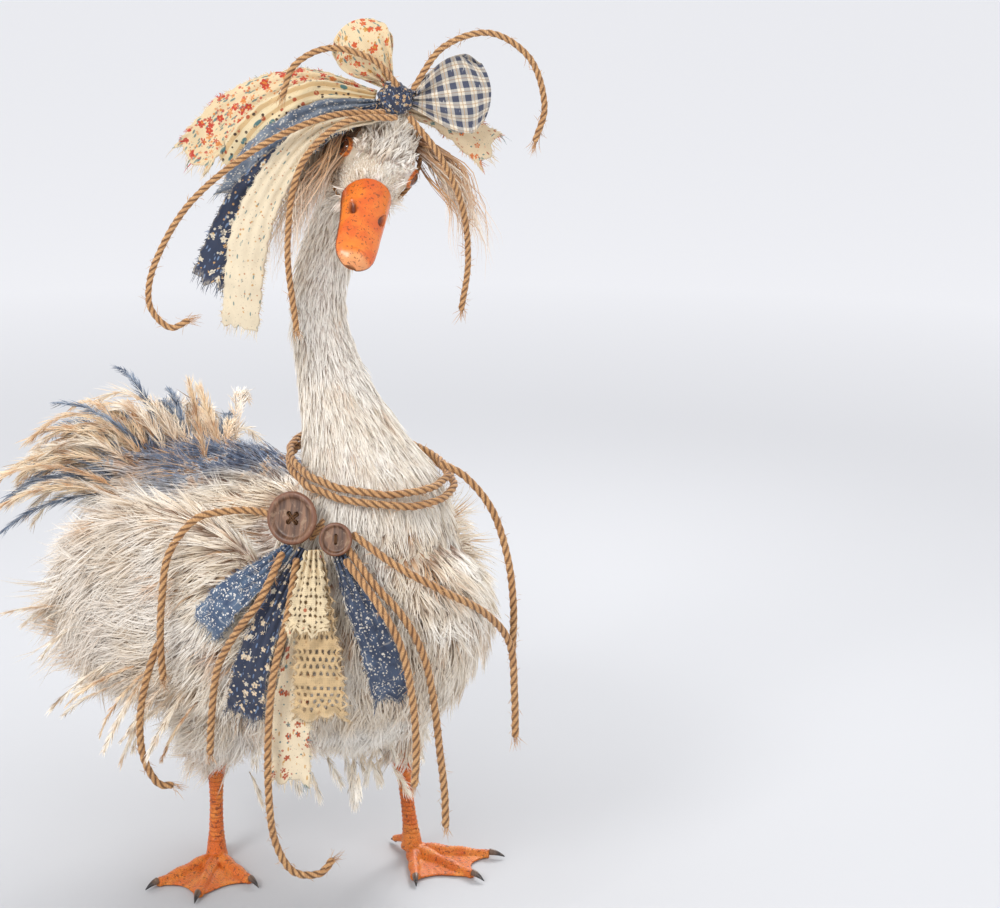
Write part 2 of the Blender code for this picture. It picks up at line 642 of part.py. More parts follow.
# routes start at the knot; places are measured from the knot's middle
HEAD_RAGS = {
    "rag_head_floral": ("calico", (0.010, 0.026, 0.034, 0.036), (
        (-0.018, 0.012, 0.003), (-0.080, 0.018, 0.014), (-0.140, 0.024, -0.010), (-0.182, 0.028, -0.056))),
    "rag_head_dotted": ("calico", (0.010, 0.026, 0.030, 0.032), (
        (-0.019, 0.004, 0.001), (-0.070, 0.004, 0.004), (-0.115, 0.006, -0.020), (-0.146, 0.006, -0.060))),
    "rag_head_denim": ("denim", (0.010, 0.028, 0.036, 0.040), (
        (-0.018, -0.005, -0.004), (-0.064, -0.007, -0.012),
        (-0.112, -0.008, -0.044), (-0.142, -0.008, -0.092))),
    "rag_head_navy": ("denim", (0.010, 0.024, 0.034, 0.036), (
        (-0.016, -0.013, -0.008), (-0.070, -0.018, -0.028),
        (-0.128, -0.020, -0.080), (-0.166, -0.020, -0.160))),
    "rag_head_leafy": ("calico", (0.010, 0.024, 0.034, 0.032), (
        (-0.013, -0.021, -0.012), (-0.074, -0.033, -0.026),
        (-0.124, -0.031, -0.100), (-0.140, -0.031, -0.196))),
    "rag_head_right": ("calico", (0.010, 0.028, 0.036), (
        (0.013, 0.014, -0.010), (0.050, 0.023, -0.022), (0.090, 0.024, -0.052))),
}
HEAD_TWINES = {
    "twine_head_crest": ((0.002, -0.017, 0.013), (-0.020, -0.023, 0.036), (-0.056, -0.023, 0.046),
                         (-0.086, -0.021, 0.032), (-0.098, -0.019, 0.004)),
    "twine_head_far": ((-0.010, -0.030, -0.008), (-0.060, -0.043, -0.010), (-0.120, -0.044, -0.036),
                       (-0.176, -0.042, -0.080), (-0.208, -0.040, -0.130), (-0.216, -0.038, -0.168),
                       (-0.200, -0.037, -0.190), (-0.182, -0.037, -0.184)),
    "twine_head_arch": ((0.014, -0.018, 0.010), (0.040, -0.025, 0.046), (0.080, -0.025, 0.058),
                        (0.115, -0.022, 0.036), (0.128, -0.020, -0.004), (0.120, -0.018, -0.036)),
    "twine_cheek_left": ((0.010, -0.024, -0.012), (0.036, -0.030, -0.045), (0.056, -0.020, -0.090),
                         (0.062, -0.010, -0.140), (0.056, -0.006, -0.186)),
    "twine_cheek_right": ((0.000, -0.034, -0.012), (-0.046, -0.053, -0.014), (-0.084, -0.050, -0.052),
                          (-0.096, -0.047, -0.120), (-0.090, -0.045, -0.194)),
}


def make_head_bow():
    add_object("bow_knot", egg_mesh(KNOT + SHIFT, KNOT_RADII), "denim")
    gingham = ((0.0175, 0.0, 0.001), (0.050, -0.002, 0.004), (0.086, 0.0, 0.006))
    add_object("bow_loop_gingham", loop_mesh("gingham", gingham, (0.005, 0.024, 0.033, 0.034, 0.024, 0.006),
                                             (0.004, 0.010, 0.013, 0.013, 0.009, 0.003)), "gingham")
    calico = ((-0.008, 0.0, 0.0165), (-0.024, 0.002, 0.040), (-0.040, 0.004, 0.068))
    add_object("bow_loop_calico", loop_mesh("calico", calico, (0.005, 0.018, 0.026, 0.027, 0.020, 0.006),
                                            (0.004, 0.010, 0.012, 0.012, 0.009, 0.003)), "calico")
    for name, (kind, widths, route) in HEAD_RAGS.items():
        add_rag(name, kind, route, widths, (0, -1, 0.35), KNOT)
    for name, route in HEAD_TWINES.items():
        add_twine(name, route, HEAD_TWINE, KNOT)
    turns = np.linspace(0, 2 * math.pi, 25)
    band = [(-0.003 - 0.017 * math.cos(a), 0.0365 * math.sin(a), 0.0395 * math.cos(a)) for a in turns]
    add_twine("twine_headband", [head_point(*place) - SHIFT for place in band], BAND_TWINE, closed=True)


# ---- collar --------------------------------------------------------------------------------
def collar_route(lift):
    """A ring laid on the neck's slope, lowest in front, a twine's radius off the feathers."""
    heights = [station[2] for station in NECK_STATIONS]
    mesh = neck_mesh()
    surface = BVHTree.FromPolygons([v.co for v in mesh.vertices], [tuple(p.vertices) for p in mesh.polygons])
    bpy.data.meshes.remove(mesh)
    route = []
    for angle in np.linspace(0, 2 * math.pi, 33):
        up = COLLAR_HEIGHT + lift - COLLAR_SLOPE * math.cos(angle)
        ahead, aside = (float(np.interp(up, heights, [s[k] for s in NECK_STATIONS])) for k in (0, 1))
        out = FORWARD * math.cos(angle) + LEFT * math.sin(angle)
        place, normal, _, _ = surface.ray_cast(body_point(ahead, aside, up), out)
        route.append(place + normal * math.copysign(TWINE / 2 + 0.0031, normal.dot(out)) - SHIFT)
    return route


def button_mesh(radius, thickness):
    """A turned button with a raised rim and a dished middle, its profile run from outside in."""
    rim, dish = radius * 0.80, thickness * 0.62
    profile = [(0.0, -thickness / 2), (radius * 0.86, -thickness / 2), (radius, -thickness * 0.15)]
    profile += [(radius, thickness * 0.22), (radius * 0.90, thickness / 2)]
    profile += [(rim * 0.90, dish - thickness / 2), (0.0, dish - thickness / 2)]
    steps = 16
    work = bmesh.new()
    verts = [work.verts.new((x, 0, z)) for x, z in profile]
    edges = [work.edges.new(pair) for pair in zip(verts, verts[1:])]
    bmesh.ops.spin(work, geom=verts + edges, cent=(0, 0, 0), axis=(0, 0, 1), angle=2 * math.pi, steps=steps)
    bmesh.ops.remove_doubles(work, verts=work.verts, dist=1e-6)
    bmesh.ops.recalc_face_normals(work, faces=work.faces)
    mesh = bpy.data.meshes.new("button")
    work.to_mesh(mesh)
    work.free()
    return mesh


def make_button(name, place, holes):
    centre, facing, radius, thickness = place
    frame = facing.to_track_quat("Z", "Y").to_matrix().to_4x4()
    matrix = Matrix.Translation(centre + SHIFT) @ frame
    mesh = button_mesh(radius, thickness)
    mesh.transform(matrix)
    button = add_object(name, mesh, "button", smooth=35)
    drills = []
    for i in range(holes):
        angle = 2 * math.pi * (i + 0.5) / holes
        work = bmesh.new()
        bore = radius * 0.085
        bmesh.ops.create_cone(work, cap_ends=True, segments=5, radius1=bore, radius2=bore, depth=0.02)
        offset = Matrix.Translation((radius * 0.22 * math.cos(angle), radius * 0.22 * math.sin(angle), 0))
        bmesh.ops.transform(work, matrix=matrix @ offset, verts=work.verts)
        drill = bpy.data.meshes.new("drill")
        work.to_mesh(drill)
        work.free()
        drills.append(drill)
    boolean(button, add_object(name + "_holes", join_meshes("holes", drills)), "DIFFERENCE")


COLLAR_RAGS = {
    "rag_collar_denim": ("denim", (0.011, 0.026, 0.034, 0.036), (-0.5, -0.8, 0.2), (
        (-0.019, -0.1490, 0.3835), (-0.043, -0.1575, 0.3640),
        (-0.073, -0.1515, 0.339), (-0.099, -0.136, 0.304))),
    "rag_collar_navy": ("denim", (0.010, 0.024, 0.032, 0.036), (-0.3, -0.95, 0), (
        (-0.006, -0.1545, 0.3815), (-0.034, -0.1715, 0.332),
        (-0.052, -0.1645, 0.282), (-0.063, -0.150, 0.222))),
    "rag_collar_calico": ("calico", (0.010, 0.018, 0.034, 0.038), (-0.3, -0.95, 0), (
        (0.003, -0.1595, 0.377), (-0.001, -0.1800, 0.341),
        (-0.0165, -0.1850, 0.267), (-0.022, -0.178, 0.168))),
    "rag_collar_crochet": ("lace", (0.012, 0.034, 0.048, 0.054), (-0.25, -0.97, 0.1), (
        (0.007, -0.1640, 0.381), (0.005, -0.1935, 0.330), (0.006, -0.1990, 0.262), (0.007, -0.197, 0.236))),
    "rag_collar_lace": ("lace", (0.014, 0.032, 0.042), (-0.2, -0.97, 0.2), (
        (0.003, -0.1690, 0.383), (0.000, -0.191, 0.356), (-0.004, -0.207, 0.318))),
    "rag_collar_dark": ("denim", (0.010, 0.026, 0.032, 0.034), (0.1, -1, 0.1), (
        (0.028, -0.168, 0.379), (0.0465, -0.2050, 0.342), (0.0605, -0.2100, 0.302), (0.072, -0.206, 0.252))),
}
COLLAR_TWINES = {
    "twine_wing": ((-0.0190, -0.1275, 0.4035), (-0.045, -0.111, 0.4085), (-0.075, -0.104, 0.407),
                   (-0.103, -0.106, 0.400), (-0.127, -0.1065, 0.3685), (-0.134, -0.1135, 0.330),
                   (-0.137, -0.1155, 0.290), (-0.136, -0.1145, 0.250)),
    "twine_side": ((-0.023, -0.158, 0.3835), (-0.044, -0.1785, 0.346), (-0.066, -0.1715, 0.314),
                   (-0.084, -0.158, 0.276), (-0.091, -0.153, 0.230), (-0.094, -0.151, 0.190)),
    "twine_long": ((0.0345, -0.1655, 0.3875), (0.056, -0.1945, 0.3635), (0.081, -0.2065, 0.336),
                   (0.099, -0.2045, 0.298), (0.108, -0.199, 0.252), (0.113, -0.197, 0.205),
                   (0.117, -0.196, 0.165), (0.118, -0.196, 0.130)),
    "twine_breast": ((0.0430, -0.1655, 0.3975), (0.0765, -0.1905, 0.378), (0.117, -0.1965, 0.3555),
                     (0.156, -0.177, 0.327), (0.180, -0.156, 0.290),
                     (0.185, -0.150, 0.240), (0.186, -0.149, 0.196)),
    "twine_short": ((0.0350, -0.1790, 0.3768), (0.0607, -0.2126, 0.3475), (0.079, -0.2175, 0.310),
                    (0.088, -0.2165, 0.262), (0.091, -0.214, 0.215), (0.089, -0.213, 0.178)),
    "twine_belly": ((-0.012, -0.166, 0.372), (-0.021, -0.1935, 0.330), (-0.034, -0.196, 0.280),
                    (-0.040, -0.189, 0.220), (-0.041, -0.187, 0.165), (-0.037, -0.185, 0.120),
                    (-0.022, -0.184, 0.088), (0.002, -0.183, 0.083), (0.016, -0.182, 0.097)),
    "twine_flank": ((-0.1395, -0.105, 0.284), (-0.151, -0.108, 0.252), (-0.159, -0.108, 0.212),
                    (-0.158, -0.107, 0.174), (-0.146, -0.106, 0.146), (-0.131, -0.105, 0.142)),
    "twine_shoulder": ((0.121, -0.095, 0.446), (0.146, -0.092, 0.430), (0.170, -0.094, 0.398),
                       (0.184, -0.098, 0.352), (0.189, -0.100, 0.305), (0.188, -0.100, 0.262)),
}


def make_collar():
    for name, lift in (("collar_twine_lower", 0.0), ("collar_twine_upper", 0.0085)):
        add_twine(name, collar_route(lift), TWINE, closed=True)
    knot = add_object("collar_knot", egg_mesh(COLLAR_KNOT + SHIFT, (0.017, 0.0058, 0.0100)), "twine")
    boolean(knot, add_object("collar_knot_bed", neck_mesh(3 * GAP)), "DIFFERENCE")
    make_button("button_large", BUTTON_LARGE, 4)
    make_button("button_small", BUTTON_SMALL, 2)
    for name, (kind, widths, face, route) in COLLAR_RAGS.items():
        add_rag(name, kind, route, widths, face)
    for name, route in COLLAR_TWINES.items():
        add_twine(name, route, TWINE)


def build():
    make_trunk()
    make_wing("wing_left", 1)
    make_wing("wing_right", -1)
    make_tail()
    make_head()
    make_bill()
    make_leg("left", 1, HEEL_LEFT, FOOT_TURN_LEFT)
    make_leg("right", -1, HEEL_RIGHT, FOOT_TURN_RIGHT)
    make_head_bow()
    make_collar()


build()
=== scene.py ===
"""A life-size loose-feathered domestic goose in a rag bow and a twine collar, dressed round its frame."""
from math import atan, atan2, copysign, cos, pi, radians, sin, sqrt, tau

import bmesh
import bpy
import numpy as np
from bpy.props import FloatProperty, FloatVectorProperty, IntProperty, PointerProperty
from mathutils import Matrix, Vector
from mathutils.bvhtree import BVHTree


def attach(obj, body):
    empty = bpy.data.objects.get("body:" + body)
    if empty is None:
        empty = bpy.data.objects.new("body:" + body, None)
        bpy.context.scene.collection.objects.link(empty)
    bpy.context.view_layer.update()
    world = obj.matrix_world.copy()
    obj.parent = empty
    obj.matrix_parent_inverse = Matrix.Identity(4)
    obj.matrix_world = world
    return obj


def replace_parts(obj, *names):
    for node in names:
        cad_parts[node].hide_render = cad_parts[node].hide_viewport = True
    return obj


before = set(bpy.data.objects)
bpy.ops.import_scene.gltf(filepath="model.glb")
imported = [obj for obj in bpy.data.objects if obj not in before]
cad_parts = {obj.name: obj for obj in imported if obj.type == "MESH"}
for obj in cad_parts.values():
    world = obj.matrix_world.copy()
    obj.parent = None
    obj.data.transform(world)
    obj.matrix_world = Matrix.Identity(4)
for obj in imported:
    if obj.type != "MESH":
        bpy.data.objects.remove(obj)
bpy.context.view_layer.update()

bl_info = {
    "name": "Domestic goose in rags",
    "version": (1, 0, 0),
    "blender": (4, 5, 0),
    "location": "View3D > Sidebar > Goose",
    "description": "Skin, feathers, bill, legs, rag bow, twine collar and stage of a standing goose",
    "category": "Add Mesh",
}

# ---- the goose's own frame ----
SHIFT = np.array((0.0829, -0.0868, 0.0))
HEADING = radians(38)
FORWARD = np.array((sin(HEADING), -cos(HEADING), 0.0))
LEFT = np.array((cos(HEADING), sin(HEADING), 0.0))
UP = np.array((0.0, 0.0, 1.0))
TRUNK_MIDDLE, TRUNK_LENGTH = -0.008, 0.47
TRUNK_HALF_WIDTH, TRUNK_HALF_HEIGHT = 0.14, 0.143
TRUNK_AXIS_HEIGHT, TRUNK_AXIS_RISE = 0.277, 1.05
TRUNK_ROUNDING = 2.35
NECK_STATIONS = np.array((  # forward, left, up, radius
    (0.085, 0.0, 0.33, 0.085), (0.09, 0.0, 0.372, 0.088), (0.09, 0.0, 0.398, 0.0835),
    (0.084, 0.0, 0.424, 0.071), (0.074, -0.003, 0.455, 0.0545), (0.06, -0.007, 0.495, 0.0405),
    (0.047, -0.012, 0.54, 0.0318), (0.041, -0.014, 0.59, 0.0285), (0.05, -0.006, 0.64, 0.028),
))
HEAD_CENTRE = np.array((0.066, -0.1, 0.722)) + SHIFT
HEAD_TURN, HEAD_NOD, HEAD_TILT = radians(6), radians(27), radians(27)
HEAD_SCALE = 1.06
HEAD_STATIONS = np.array((  # forward, height of the middle, half-width, half-height
    (-0.0405, 0.0035, 0.011, 0.011), (-0.035, 0.0035, 0.0195, 0.02), (-0.022, 0.003, 0.0285, 0.03),
    (-0.004, 0.002, 0.033, 0.035), (0.013, 0.0, 0.0325, 0.0335), (0.028, -0.003, 0.0283, 0.029),
    (0.0395, -0.0055, 0.0238, 0.0248), (0.0475, -0.007, 0.0212, 0.0225),
))
EYE_RADIUS = 0.0094
EYE_PLACE = (0.0135, 0.0262, 0.0095)
LID_DEPTH, LID_RADIUS, LID_THICK = EYE_RADIUS * 0.61, EYE_RADIUS * 0.84, 0.00125
HEELS = {"left": (1, np.array((0.098, 0.036, 0.0)), radians(38)),
         "right": (-1, np.array((-0.1, 0.036, 0.0)), radians(-8))}
KNOT = np.array((0.084, -0.112, 0.777))
TWINE = 0.0072
COLLAR_HEIGHT, COLLAR_SLOPE, COLLAR_STANDOFF = 0.433, 0.016, 0.0031
SHANK_SCUTE, TOE_SCUTE = 0.0046, 0.004  # length of one scale


def norm(v):
    """The length of each vector."""
    return np.linalg.norm(v, axis=-1)


def unit(v):
    """Vectors scaled to a length of 1."""
    v = np.asarray(v, float)
    return v / np.maximum(np.linalg.norm(v, axis=-1, keepdims=True), 1e-12)


def heading(path, axis=0):
    """The unit vector along a path at each of its points."""
    return unit(np.gradient(path, axis=axis))


def ramp(count):
    """Even steps from 0 to 1."""
    return np.linspace(0, 1, count)


def circle(count):
    """Even angles once round, the last short of the first."""
    return np.arange(count) * tau / count


def stacked(*parts):
    """Arrays spread to one shape and laid side by side in a last axis."""
    return np.stack(np.broadcast_arrays(*parts), -1)


def body(forward, left, up):
    """World places from places ahead of, beside and above the trunk's origin."""
    f, l, u = (np.asarray(a, float)[..., None] for a in (forward, left, up))
    return FORWARD * f + LEFT * l + UP * u + SHIFT


def head_axes():
    """The head's forward, left and up: a level heading, nodded down, then tilted to the side."""
    level = np.array((sin(HEAD_TURN), -cos(HEAD_TURN), 0))
    side = np.array((cos(HEAD_TURN), sin(HEAD_TURN), 0))
    front = level * cos(HEAD_NOD) - UP * sin(HEAD_NOD)
    crown = UP * cos(HEAD_NOD) + level * sin(HEAD_NOD)
    c, s = cos(HEAD_TILT), sin(HEAD_TILT)
    tilt = np.array(((c, 0, s), (0, 1, 0), (-s, 0, c)))
    return np.array((tilt @ front, tilt @ side, tilt @ crown))


HEAD_AXES = head_axes()  # rows: forward, left and up of the head


def head(forward, left, up):
    """World places from places ahead of, beside and above the middle of the head."""
    place = np.stack(np.broadcast_arrays(*(np.asarray(a, float) for a in (forward, left, up))), -1)
    return HEAD_CENTRE + place @ HEAD_AXES * HEAD_SCALE


def in_head(points):
    """Forward, left and up of world points in the head's frame."""
    return (points - HEAD_CENTRE) @ HEAD_AXES.T / HEAD_SCALE


def in_body(points):
    """Forward, left and up of world points in the trunk's frame."""
    local = points - SHIFT
    return stacked(local @ FORWARD, local @ LEFT, local @ UP)


# ---- number helpers ----
def smooth_path(points, count):
    """Points evenly spread along one smooth curve through the given ones."""
    given = np.array(points, float)
    ends = np.vstack([2 * given[0] - given[1], given, 2 * given[-1] - given[-2]])
    t = np.linspace(0, 1, 24, endpoint=False)[None, :, None]
    a, b, c, d = (ends[k : len(given) - 1 + k, None] for k in range(4))
    bend, twist = 2 * a - 5 * b + 4 * c - d, 3 * b - a - 3 * c + d
    fine = 0.5 * (2 * b + (c - a) * t + bend * t**2 + twist * t**3)
    fine = np.vstack([fine.reshape(-1, given.shape[1]), given[-1:]])
    run = run_along(fine)
    at = np.linspace(0, run[-1], count)
    return np.column_stack([np.interp(at, run, column) for column in fine.T])


def run_along(path):
    """Distance from a path's start to each of its points."""
    return np.concatenate([[0], np.cumsum(norm(np.diff(path, axis=0)))])


def path_length(path):
    """The sum of the steps between a path's points."""
    return float(norm(np.diff(path, axis=0)).sum())


def eased(value, low, high):
    """0 below low, 1 above high and a smooth S between."""
    t = np.clip((value - low) / (high - low), 0, 1)
    return t * t * (3 - 2 * t)


def ripple(points, scale, seed, octaves=3):
    """Smooth pseudo-random value near -1..1: a sum of sines along random directions."""
    rng = np.random.default_rng(seed)
    total = np.zeros(points.shape[:-1])
    for octave in range(octaves):
        way = unit(rng.normal(size=(5, 3))) * scale * 1.9**octave
        phase = rng.uniform(0, tau, 5)
        total += np.sin(points @ way.T + phase).sum(-1) / 5 / 1.6**octave
    return total


def turned(v, axis, angle):
    """Vectors turned about unit axes by an angle each (Rodrigues' formula)."""
    angle = np.asarray(angle)[..., None]
    along = (v * axis).sum(-1, keepdims=True) * axis
    return v * np.cos(angle) + np.cross(axis, v) * np.sin(angle) + along * (1 - np.cos(angle))


def path_frames(path, face):
    """Tangent, across and outward unit vectors along a path; outward stays near `face`."""
    along = heading(path)
    across = unit(np.cross(along, np.broadcast_to(np.asarray(face, float), path.shape)))
    return along, across, np.cross(across, along)


def carried_frames(path):
    """Two cross vectors carried along a path with no twist of their own."""
    along = heading(path)
    side = unit(np.cross(along[0], (0.31, 0.17, 0.93)))
    sides = [side]
    for after in along[1:]:
        side = unit(side - after * (side @ after))
        sides.append(side)
    sides = np.array(sides)
    return along, sides, np.cross(along, sides)


# ---- mesh helpers ----
def grid_faces(rows, columns, wrap=False):
    """Quads of a grid of points, row by row; `wrap` joins the last column to the first."""
    i, j = np.meshgrid(np.arange(rows - 1), np.arange(columns if wrap else columns - 1), indexing="ij")
    after = (j + 1) % columns
    quads = stacked(i * columns + j, i * columns + after, (i + 1) * columns + after, (i + 1) * columns + j)
    return quads.reshape(-1, 4)


def put_value(mesh, name, values):
    """A named number for each point of a mesh."""
    held = mesh.attributes.new(name, "FLOAT", "POINT").data
    held.foreach_set("value", np.asarray(values, float).ravel())


def blade_faces(shape):
    """Quads of many like grids, one after another; shape holds their count, rows and columns."""
    count, rows, columns = shape
    starts = np.arange(count)[:, None, None] * rows * columns
    return (grid_faces(rows, columns)[None] + starts).reshape(-1, 4)


def capped(uv):
    """A tube's UV, ring by ring, with one more for the middle of each end."""
    uv = uv.reshape(-1, 2)
    return np.vstack([uv, uv[:1], uv[-1:]])


def make_object(name, points, faces, uv=None, uv_name="UVMap", values=None, material=None, slot=None):
    """A mesh object from arrays: points, faces of equal size, a UV and named values for each point."""
    points = np.asarray(points, float).reshape(-1, 3)
    faces = np.asarray(faces)
    mesh = bpy.data.meshes.new(name)
    mesh.vertices.add(len(points))
    mesh.vertices.foreach_set("co", points.ravel())
    mesh.loops.add(faces.size)
    mesh.polygons.add(len(faces))
    mesh.polygons.foreach_set("loop_start", np.arange(len(faces)) * faces.shape[1])
    mesh.polygons.foreach_set("vertices", faces.ravel())
    mesh.polygons.foreach_set("use_smooth", np.ones(len(faces), bool))
    mesh.update(calc_edges=True)
    if uv is not None:
        corners = np.asarray(uv).reshape(-1, 2)[faces.ravel()]
        mesh.uv_layers.new(name=uv_name).data.foreach_set("uv", corners.ravel())
    for key, value in (values or {}).items():
        put_value(mesh, key, value)
    made = bpy.data.objects.new(name, mesh)
    bpy.context.scene.collection.objects.link(made)
    if material:
        mesh.materials.append(material)
    if slot:
        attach(made, "root")
    return made


def closed_tube(rings):
    """Points and triangles of a tube through rings, each end closed by a fan."""
    count, sides = rings.shape[:2]
    points = np.vstack([rings.reshape(-1, 3), rings[0].mean(0), rings[-1].mean(0)])
    quads = grid_faces(count, sides, wrap=True)
    tris = np.vstack([quads[:, (0, 1, 2)], quads[:, (0, 2, 3)]])
    j = np.arange(sides)
    after = (j + 1) % sides
    first = np.column_stack([np.full(sides, count * sides), after, j])
    last = np.column_stack(
        [np.full(sides, count * sides + 1), (count - 1) * sides + j, (count - 1) * sides + after])
    return points, np.vstack([tris, first, last])


def joined(parts):
    """Points and faces of several surfaces as one."""
    at, all_points, all_faces = 0, [], []
    for points, faces in parts:
        all_points.append(points)
        all_faces.append(faces + at)
        at += len(points)
    return np.vstack(all_points), np.vstack(all_faces)


def rings_along(path, wide, deep, sides, face=(0, 0, 1)):
    """Elliptic rings square to a path."""
    _, across, outward = path_frames(np.asarray(path, float), face)
    angle = circle(sides)
    wide = np.broadcast_to(wide, len(path))[:, None, None]
    deep = np.broadcast_to(deep, len(path))[:, None, None]
    turn = np.cos(angle)[None, :, None] * across[:, None] * wide
    return np.asarray(path)[:, None] + turn + np.sin(angle)[None, :, None] * outward[:, None] * deep


def egg(centre, radii, axes=np.eye(3), rows=24, sides=32):
    """An egg: points at latitude and longitude, scaled by three radii along three axes (rows)."""
    latitude = np.linspace(-pi / 2 + 0.02, pi / 2 - 0.02, rows)[:, None]
    longitude = circle(sides)[None]
    local = stacked(np.cos(latitude) * np.cos(longitude),
        np.cos(latitude) * np.sin(longitude), np.sin(latitude) * np.ones_like(longitude))
    return closed_tube(centre + (local * np.asarray(radii)) @ np.asarray(axes))


def ring_tube(centre, normal, radius, thick, rows=48, sides=14):
    """A ring-shaped tube: a circle about `normal` with a round section."""
    side = unit(np.cross(normal, (0.2, 0.3, 0.93)))
    other = np.cross(normal, side)
    turn = circle(rows)[:, None]
    around = circle(sides)[None]
    out = np.cos(turn)[..., None] * side + np.sin(turn)[..., None] * other
    reach = radius + thick * np.cos(around)
    points = centre + out * reach[..., None] + np.sin(around)[..., None] * thick * np.asarray(normal)
    quads = grid_faces(rows + 1, sides, wrap=True) % (rows * sides)
    return points.reshape(-1, 3), np.vstack([quads[:, (0, 1, 2)], quads[:, (0, 2, 3)]])


def arrays_of(made):
    """Points, point normals and triangles of an object's own mesh."""
    mesh = made.data
    mesh.calc_loop_triangles()
    points = np.empty(len(mesh.vertices) * 3)
    mesh.vertices.foreach_get("co", points)
    normals = np.empty(len(mesh.vertices) * 3)
    mesh.vertices.foreach_get("normal", normals)
    tris = np.empty(len(mesh.loop_triangles) * 3, np.int32)
    mesh.loop_triangles.foreach_get("vertices", tris)
    return points.reshape(-1, 3), normals.reshape(-1, 3), tris.reshape(-1, 3)


def bake_modifiers(made):
    """The object's mesh with its modifiers applied."""
    graph = bpy.context.evaluated_depsgraph_get()
    mesh = bpy.data.meshes.new_from_object(made.evaluated_get(graph))
    old = made.data
    made.modifiers.clear()
    made.data = mesh
    bpy.data.meshes.remove(old)
    return made


def fused(name, parts, voxel, smoothing):
    """Overlapping closed surfaces melted into one skin: voxel remesh, then smoothing."""
    points, faces = joined(parts)
    made = make_object(name, points, faces)
    remesh = made.modifiers.new("melt", "REMESH")
    remesh.mode = "VOXEL"
    remesh.voxel_size = voxel
    calm = made.modifiers.new("calm", "SMOOTH")
    calm.factor, calm.iterations = 0.5, smoothing
    return bake_modifiers(made)


# ---- skin ----
def trunk_surface(inset):
    """Oval rings along a bowed axis; half-width and half-height round off as sqrt(1 - share^2.35)."""
    t = np.linspace(0.02, 0.98, 48)
    forward = TRUNK_MIDDLE - (TRUNK_LENGTH / 2 - inset) * np.cos(pi * t)
    share = np.abs(forward - TRUNK_MIDDLE) / (TRUNK_LENGTH / 2 - inset)
    round_off = np.sqrt(np.maximum(0.0004, 1 - share**TRUNK_ROUNDING))
    axis = TRUNK_AXIS_HEIGHT + TRUNK_AXIS_RISE * (forward - 0.01) ** 2
    angle = circle(64)
    wide = (TRUNK_HALF_WIDTH - inset) * round_off[:, None] * np.cos(angle)
    high = axis[:, None] + (TRUNK_HALF_HEIGHT - inset) * round_off[:, None] * np.sin(angle)
    return closed_tube(body(np.broadcast_to(forward[:, None], wide.shape), wide, high))


def wing_surface(side, inset):
    """A folded wing as an egg on the trunk's side, tipped and toed like the frame's."""
    tip, toe = radians(-7), radians(-side * 5)
    about_y = np.array(((cos(tip), 0, sin(tip)), (0, 1, 0), (-sin(tip), 0, cos(tip))))
    about_z = np.array(((cos(toe), -sin(toe), 0), (sin(toe), cos(toe), 0), (0, 0, 1)))
    axes = (about_y @ about_z).T @ np.array((FORWARD, LEFT, UP))
    radii = np.array((0.166, 0.047, 0.106)) - inset
    return egg(body(-0.052, side * 0.1235, 0.297), radii, axes)


def tail_surface(inset):
    """The tail's root: oval rings that narrow and flatten along a rising path."""
    stations = np.array(((-0.12, 0.33, 0.07, 0.05), (-0.205, 0.35, 0.072, 0.044),
        (-0.245, 0.362, 0.066, 0.032), (-0.275, 0.37, 0.05, 0.018), (-0.29, 0.374, 0.026, 0.01)))
    rows = smooth_path(stations, 24)
    path = body(rows[:, 0], 0, rows[:, 1])
    return closed_tube(rings_along(path, rows[:, 2] - inset, rows[:, 3] - inset * 0.6, 32))


def neck_rows(count=60):
    """World places and radii along the neck, from the breast to inside the head."""
    path = body(*NECK_STATIONS[:, :3].T)
    path = np.vstack([path, head(-0.018, 0, -0.03), head(-0.006, 0, -0.004)])
    radii = np.append(NECK_STATIONS[:, 3], (0.0285, 0.0285))
    return smooth_path(np.column_stack([path, radii]), count)


def neck_surface():
    """Round rings along the neck, a little inside the frame's radius."""
    rows = neck_rows()
    radii = rows[:, 3] * 0.9 - 0.0028
    return closed_tube(rings_along(rows[:, :3], radii, radii, 40, FORWARD))


def head_surface(inset):
    """Upright ovals; full cheeks and a brow over each eye are melted on."""
    rows = smooth_path(HEAD_STATIONS, 36)
    angle = circle(48)
    wide = (rows[:, 2:3] - inset) * np.cos(angle)
    high = rows[:, 1:2] + (rows[:, 3:4] - inset) * np.sin(angle)
    return closed_tube(head(np.broadcast_to(rows[:, :1], wide.shape), wide, high))


def eye_frame(side):
    """The eye's centre and the way it looks: sideways, a little forward and up."""
    centre = head(EYE_PLACE[0], side * EYE_PLACE[1], EYE_PLACE[2])
    return centre, unit(np.array((0.34, side * 0.92, 0.16)) @ HEAD_AXES)


def thigh_surface(side, heel, turn, inset):
    """A round cone from the hip inside the trunk to just above the ankle."""
    hip, ankle = body(-0.01, side * 0.08, 0.24), foot_place(heel, turn, pi, 0.009, 0.1215)
    rows = smooth_path(np.array((hip, ankle)), 30)
    share = ramp(7)
    wide = np.interp(ramp(30), share, (0.05, 0.051, 0.05, 0.045, 0.036, 0.025, 0.0155))
    half = wide - inset * np.linspace(1, 0.3, 30)
    return closed_tube(rings_along(rows, half, half, 28, FORWARD))


def foot_place(heel, turn, angle, reach, height):
    """World places at an angle, a reach and a height from a heel; angle 0 is the foot's own way."""
    aim = turn + np.asarray(angle, float)
    reach, height = np.asarray(reach, float), np.asarray(height, float)
    aim, reach, height = np.broadcast_arrays(aim, reach, height)
    flat = stacked(np.sin(aim), -np.cos(aim), np.zeros_like(aim)) * reach[..., None]
    return heel + SHIFT + flat + height[..., None] * UP


